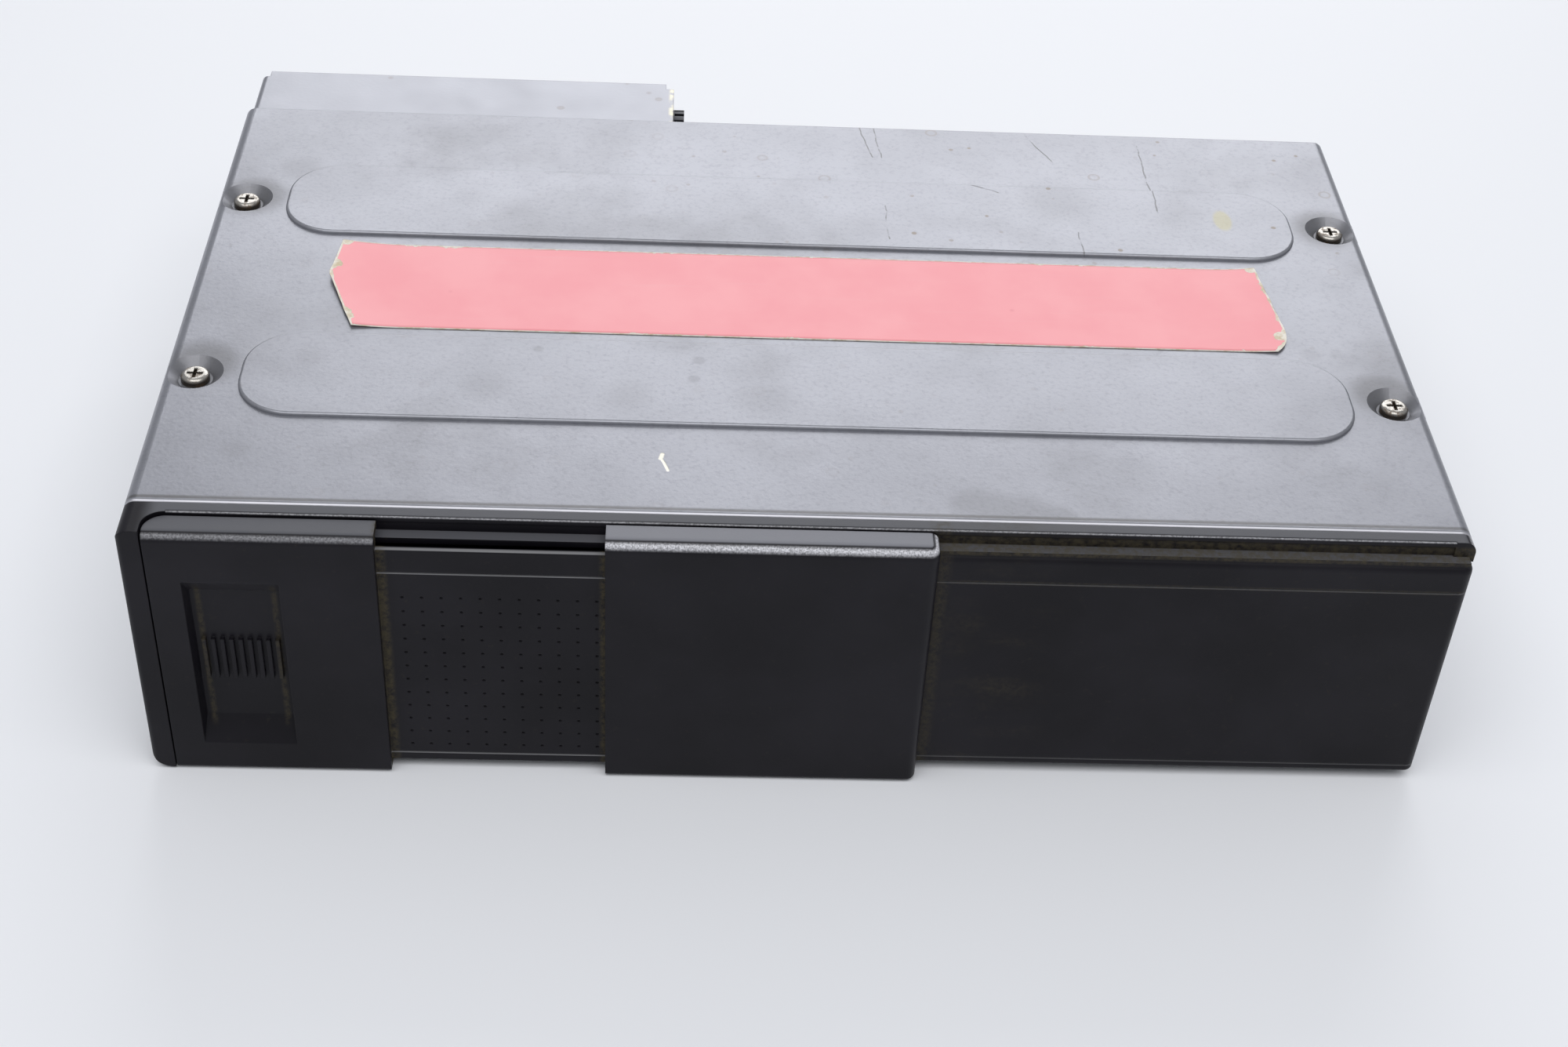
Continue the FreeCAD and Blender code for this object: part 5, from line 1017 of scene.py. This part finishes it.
# ---------------------------------------------------------------- inside
# Moulded pieces: the finish, its light and dark colours, its roughness and the pieces that it dresses.
MAGAZINE_MOULDINGS = (
    ("magazine_shell", (0.032, 0.032, 0.036), (0.022, 0.022, 0.025), 0.45, ("magazine_base",)),
    ("magazine_top", (0.05, 0.051, 0.055), (0.038, 0.039, 0.042), 0.38, ("magazine_lid",)),
    ("tray_moulding", (0.28, 0.285, 0.30), (0.22, 0.225, 0.24), 0.45, ("top_tray", "lower_trays")),
    ("runner_moulding", (0.55, 0.54, 0.50), (0.47, 0.46, 0.42), 0.45, ("magazine_rails",)),
)
MECHANISM_MOULDINGS = (
    ("white_gears", (0.66, 0.65, 0.60), (0.56, 0.55, 0.50), 0.45, ("lift_gear", "tray_gear")),
    ("brown_gears", (0.20, 0.12, 0.06), (0.15, 0.09, 0.045), 0.45,
     ("lift_pinion", "tray_pinion", "sled_pinion")),
    ("turntable_moulding", (0.03, 0.03, 0.033), (0.02, 0.02, 0.022), 0.35, ("turntable",)),
    ("clamper_moulding", (0.70, 0.70, 0.68), (0.60, 0.60, 0.58), 0.45, ("clamper",)),
    ("pickup_moulding", (0.025, 0.026, 0.03), (0.018, 0.018, 0.02), 0.3, ("pickup",)),
)
BOARD_MOULDINGS = (
    ("chip_bodies", (0.018, 0.018, 0.02), (0.03, 0.03, 0.03), 0.5, ("board_chips",)),
    ("white_plugs", (0.72, 0.70, 0.63), (0.62, 0.60, 0.53), 0.45, ("board_plugs",)),
    ("switch_body", (0.06, 0.06, 0.062), (0.04, 0.04, 0.042), 0.45, ("eject_switch",)),
)
DIAL_MOULDINGS = (
    ("dial_moulding", (0.045, 0.046, 0.05), (0.03, 0.031, 0.034), 0.42,
     ("left_angle_dial", "right_angle_dial")),
)
# Radii of a disc, each over its soft edge, and the width of a ring, in metres.
HUB_ENDS = 0.0172, 0.0178
DATA_STARTS = 0.0225, 0.0235
DATA_ENDS = 0.0588, 0.058
RING_PITCH = 0.0004
GLASS_EDGE = 0.0022, 0.0018  # radius of the lens's glass, over its soft edge


def dress_mouldings(rows):
    """Makes the finish of each row and puts it on the row's pieces."""
    for name, light, dark, roughness, nodes in rows:
        dress(engineering_plastic(name, light, dark, roughness), *nodes)


def engineering_plastic(name, light, dark, roughness):
    """Moulded engineering plastic with faint flow marks."""
    plastic = Finish(name, light, specular=0.4)
    flow = plastic.noise(0.02, detail=3.0, stretch=(0.5, 1.0, 1.0))
    plastic.coat(dark, plastic.between(flow, 0.3, 0.7))
    plastic.roughen(0.003, 0.14, roughness - 0.07)
    plastic.raise_by(plastic.noise(0.0006, detail=2.0), 0.000008)
    return plastic.done(soft_edge=0.0002)


class CHANGER_OT_finish_magazine(bpy.types.Operator):
    """Finishes the magazine, its trays and the discs"""
    bl_idname = "changer.finish_magazine"
    bl_label = "Finish the magazine"

    def execute(self, context):
        dress_mouldings(MAGAZINE_MOULDINGS)
        dress(self.disc(), "top_disc", "lower_discs")
        return {"FINISHED"}

    def disc(self):
        """Silver disc: fine rings and a painted rainbow sheen that turns with the angle round the hub."""
        disc = Finish("polycarbonate_disc", (0.62, 0.64, 0.66), metallic=0.9)
        low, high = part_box("top_disc")
        hub = (low + high) / 2
        offset = disc.from_axis(hub)
        radius = disc.vectors("LENGTH", offset, out="Value")
        split = disc.node("ShaderNodeSeparateXYZ")
        disc.feed(split.inputs["Vector"], offset)
        angle = disc.maths("ARCTAN2", split.outputs["Y"], split.outputs["X"])
        turn = disc.maths("FRACT", disc.maths("MULTIPLY_ADD", angle, 3.0 / (2 * math.pi),
                                              disc.maths("MULTIPLY", radius, 9.0)))
        # Painted rainbow sheen, in place of the light that a disc's tracks split.
        painted_rainbow = disc.node("ShaderNodeCombineColor", mode="HSV")
        disc.feed(painted_rainbow.inputs["Red"], turn)
        painted_rainbow.inputs["Green"].default_value = 0.22
        painted_rainbow.inputs["Blue"].default_value = 0.78
        disc.coat((0.72, 0.73, 0.75), disc.between(radius, *HUB_ENDS))
        disc.coat(painted_rainbow.outputs["Color"], disc.band(radius, DATA_STARTS, DATA_ENDS))
        rings = disc.maths("SINE", disc.maths("MULTIPLY", radius, 2 * math.pi / RING_PITCH))
        disc.raise_by(rings, 0.0000012)
        disc.roughen(0.004, 0.1, 0.1, detail=4.0)
        return disc.done()


class CHANGER_OT_finish_mechanism(bpy.types.Operator):
    """Finishes the floating frame, the lift, the drive, the gears, the motors and the pickup"""
    bl_idname = "changer.finish_mechanism"
    bl_label = "Finish the mechanism"

    def execute(self, context):
        chosen = context.scene.bare_steel
        warm = plated_steel("chromated_steel", chosen, tint=(1.05, 0.99, 0.82), extra_roughness=0.04)
        dress(warm.done(), "mechanism_frame", "lift_slider", "drive_deck", "lift_motor_bracket",
              "eject_lever")
        can = plated_steel("motor_can", chosen, tint=(1.25, 1.25, 1.25), extra_roughness=-0.08)
        dress(can.done(soft_edge=0.2 * MM), "lift_motor", "tray_motor", "spindle_motor", "sled_motor")
        dress_mouldings(MECHANISM_MOULDINGS)
        clamp = plated_steel("clamp_steel", chosen, tint=(1.1, 1.1, 1.1))
        dress(clamp.done(soft_edge=0.2 * MM), "clamp_arm")
        shaft = mottled("ground_shaft", (0.56, 0.56, 0.57), (0.68, 0.68, 0.69), 0.004, (0.0007, 0.16, 0.12),
                        metallic=1.0)
        dress(shaft.done(), "guide_rod", "lead_screw")
        dress(self.lens(), "pickup_lens")
        return {"FINISHED"}

    def lens(self):
        """Coated lens in its holder: blue green in the middle, black at the rim."""
        low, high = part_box("pickup_lens")
        middle = (low + high) / 2
        lens = Finish("coated_lens", (0.012, 0.012, 0.014), specular=0.8)
        radius = lens.vectors("LENGTH", lens.from_axis(middle), out="Value")
        inside = lens.between(radius, *GLASS_EDGE)
        lens.coat((0.03, 0.09, 0.16), inside)
        lens.set("Roughness", lens.maths("MULTIPLY_ADD", inside, -0.3, 0.36))
        return lens.done()


class CHANGER_OT_populate_boards(bpy.types.Operator):
    """Finishes the circuit boards and what is soldered on them"""
    bl_idname = "changer.populate_boards"
    bl_label = "Populate the boards"

    def execute(self, context):
        dress(self.board(), "main_board", "socket_board", "switch_board")
        dress_mouldings(BOARD_MOULDINGS)
        dress(self.cans(), "board_capacitors")
        return {"FINISHED"}

    def board(self):
        """Green lacquer over copper tracks, with tinned pads."""
        board = Finish("green_board", (0.010, 0.055, 0.022), specular=0.5)
        cells = board.node("ShaderNodeTexVoronoi", distance="MANHATTAN")
        board.feed(cells.inputs["Vector"], board.scaled_place(0.006))
        cells.inputs["Scale"].default_value = 1.0
        lanes = board.maths("SINE", board.maths("MULTIPLY", cells.outputs["Distance"], 26.0))
        tracks = board.between(lanes, 0.1, 0.5)
        board.coat((0.022, 0.115, 0.045), tracks)
        pads = board.between(board.cells(0.0052, shift=(0.2, 0.3, 0.0)), 0.16, 0.12)
        board.coat((0.62, 0.61, 0.58), pads)
        board.set("Metallic", pads)
        board.roughen(0.004, 0.14, 0.26)
        board.raise_by(tracks, 0.00003)
        board.raise_by(pads, 0.00004)
        return board.done()

    def cans(self):
        """Aluminium cans in a dark sleeve, with a bright top."""
        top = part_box("board_capacitors")[1].z
        can = Finish("capacitor_cans", (0.02, 0.022, 0.05))
        bright = can.between(can.axis("Z"), top - 0.25 * MM, top - 0.1 * MM)
        can.coat((0.72, 0.72, 0.73), bright)
        can.set("Metallic", bright)
        can.roughen(0.002, 0.16, 0.28)
        return can.done(soft_edge=0.0003)


class CHANGER_OT_finish_dials(bpy.types.Operator):
    """Finishes the two angle dials"""
    bl_idname = "changer.finish_dials"
    bl_label = "Finish the dials"

    def execute(self, context):
        dress_mouldings(DIAL_MOULDINGS)
        return {"FINISHED"}


# ---------------------------------------------------------------- stage
class CHANGER_OT_set_stage(bpy.types.Operator):
    """Sets the pale table, the lamps, the even light and the camera"""
    bl_idname = "changer.set_stage"
    bl_label = "Set the stage"

    def execute(self, context):
        chosen = context.scene.studio_stage
        context.scene.view_settings.view_transform = "Standard"
        self.table(chosen)
        self.lamps(chosen)
        self.world(context, chosen)
        self.camera(context, chosen)
        return {"FINISHED"}

    def table(self, chosen):
        """Large pale table that curves up far behind."""
        half_width = 6.0
        front = -5.0
        bend_start = 3.0
        bend_radius = 1.5
        wall_top = 5.0
        bend_steps = 24
        line = [(front, 0.0)]
        for step in range(bend_steps + 1):
            angle = math.pi / 2 * step / bend_steps
            line.append((bend_start + bend_radius * math.sin(angle), bend_radius * (1 - math.cos(angle))))
        line.append((bend_start + bend_radius, wall_top))
        top = Finish("pale_table", chosen.table, roughness=0.55, specular=0.2)
        lighter = tuple(min(1.0, c * 1.02) for c in chosen.table)
        top.coat(lighter, top.noise(0.6, detail=2.0))

        def make(work):
            rows = [[work.verts.new((x, y, z)) for x in (-half_width, half_width)] for y, z in line]
            skin(work, rows, closed_ring=False, caps=False)

        table = build("table_top", make, top.done(), closed=False)

    def lamp(self, name, place, aim, size, radiance):
        """Rectangular lamp that faces a point, with an even radiance."""
        data = bpy.data.lights.new(name, "AREA")
        data.shape = "RECTANGLE"
        data.size, data.size_y = size
        data.energy = radiance * math.pi * size[0] * size[1]
        made = bpy.data.objects.new(name, data)
        made.location = place
        made.rotation_euler = (Vector(aim) - Vector(place)).to_track_quat("-Z", "Y").to_euler()
        bpy.context.scene.collection.objects.link(made)

    def lamps(self, chosen):
        """A broad panel behind, whose reflection lies along the lid, and a soft lamp above."""
        self.lamp("rear_panel_lamp", place=(0.12, 1.25, 0.72), aim=(0.03, 0.0, 0.05), size=(1.25, 0.85),
                  radiance=chosen.panel_strength)
        self.lamp("top_lamp", place=(-0.05, -0.55, 1.3), aim=(0.0, -0.25, 0.0), size=(1.7, 1.0),
                  radiance=chosen.top_strength)

    def world(self, context, chosen):
        """Even pale light all round."""
        sky = bpy.data.worlds.new("even_light")
        sky.use_nodes = True
        background = sky.node_tree.nodes["Background"]
        background.inputs["Color"].default_value = (0.95, 0.97, 1.0, 1.0)
        background.inputs["Strength"].default_value = chosen.sky
        context.scene.world = sky

    def camera(self, context, chosen):
        """Camera in front and above."""
        data = bpy.data.cameras.new("front_camera")
        data.sensor_width = 36.0
        data.lens = chosen.focal_length
        data.clip_start = 0.01
        made = bpy.data.objects.new("front_camera", data)
        made.location = (-0.0248928, -0.4168273, 0.3401432)
        made.rotation_euler = Euler([math.radians(a) for a in (50.36477, -2.79237, -1.15576)])
        context.scene.collection.objects.link(made)
        context.scene.camera = made


# ---------------------------------------------------------------- panel and registration
GROUPS = (
    ("lid_paint", LidPaint), ("bare_steel", BareSteel), ("front_moulding", FrontMoulding),
    ("sticker_film", StickerFilm), ("windings", Windings), ("studio_stage", StudioStage),
)
STEPS = (
    CHANGER_OT_paint_lid, CHANGER_OT_plate_case, CHANGER_OT_mould_front, CHANGER_OT_lay_sticker,
    CHANGER_OT_turn_screws, CHANGER_OT_fit_socket, CHANGER_OT_wind_springs, CHANGER_OT_mould_dampers,
    CHANGER_OT_lay_ribbon, CHANGER_OT_finish_magazine, CHANGER_OT_finish_mechanism,
    CHANGER_OT_populate_boards, CHANGER_OT_finish_dials, CHANGER_OT_set_stage,
)


class CHANGER_PT_sidebar(bpy.types.Panel):
    """Steps and their settings"""
    bl_idname = "CHANGER_PT_sidebar"
    bl_label = "Disc changer"
    bl_space_type = "VIEW_3D"
    bl_region_type = "UI"
    bl_category = "Changer"

    def draw(self, context):
        for step in STEPS:
            self.layout.operator(step.bl_idname)
        for name, group in GROUPS:
            box = self.layout.box()
            box.label(text=group.__name__)
            for value in group.__annotations__:
                box.prop(getattr(context.scene, name), value)


def register():
    """Registers the settings, the steps and the panel."""
    for name, group in GROUPS:
        bpy.utils.register_class(group)
        setattr(bpy.types.Scene, name, PointerProperty(type=group))
    for step in STEPS:
        bpy.utils.register_class(step)
    bpy.utils.register_class(CHANGER_PT_sidebar)


def unregister():
    """Takes the panel, the steps and the settings off again."""
    bpy.utils.unregister_class(CHANGER_PT_sidebar)
    for step in reversed(STEPS):
        bpy.utils.unregister_class(step)
    for name, group in reversed(GROUPS):
        delattr(bpy.types.Scene, name)
        bpy.utils.unregister_class(group)


def main():
    """Runs every step in order."""
    register()
    for step in STEPS:
        group, _, name = step.bl_idname.partition(".")
        getattr(getattr(bpy.ops, group), name)()


if __name__ == "__main__":
    main()
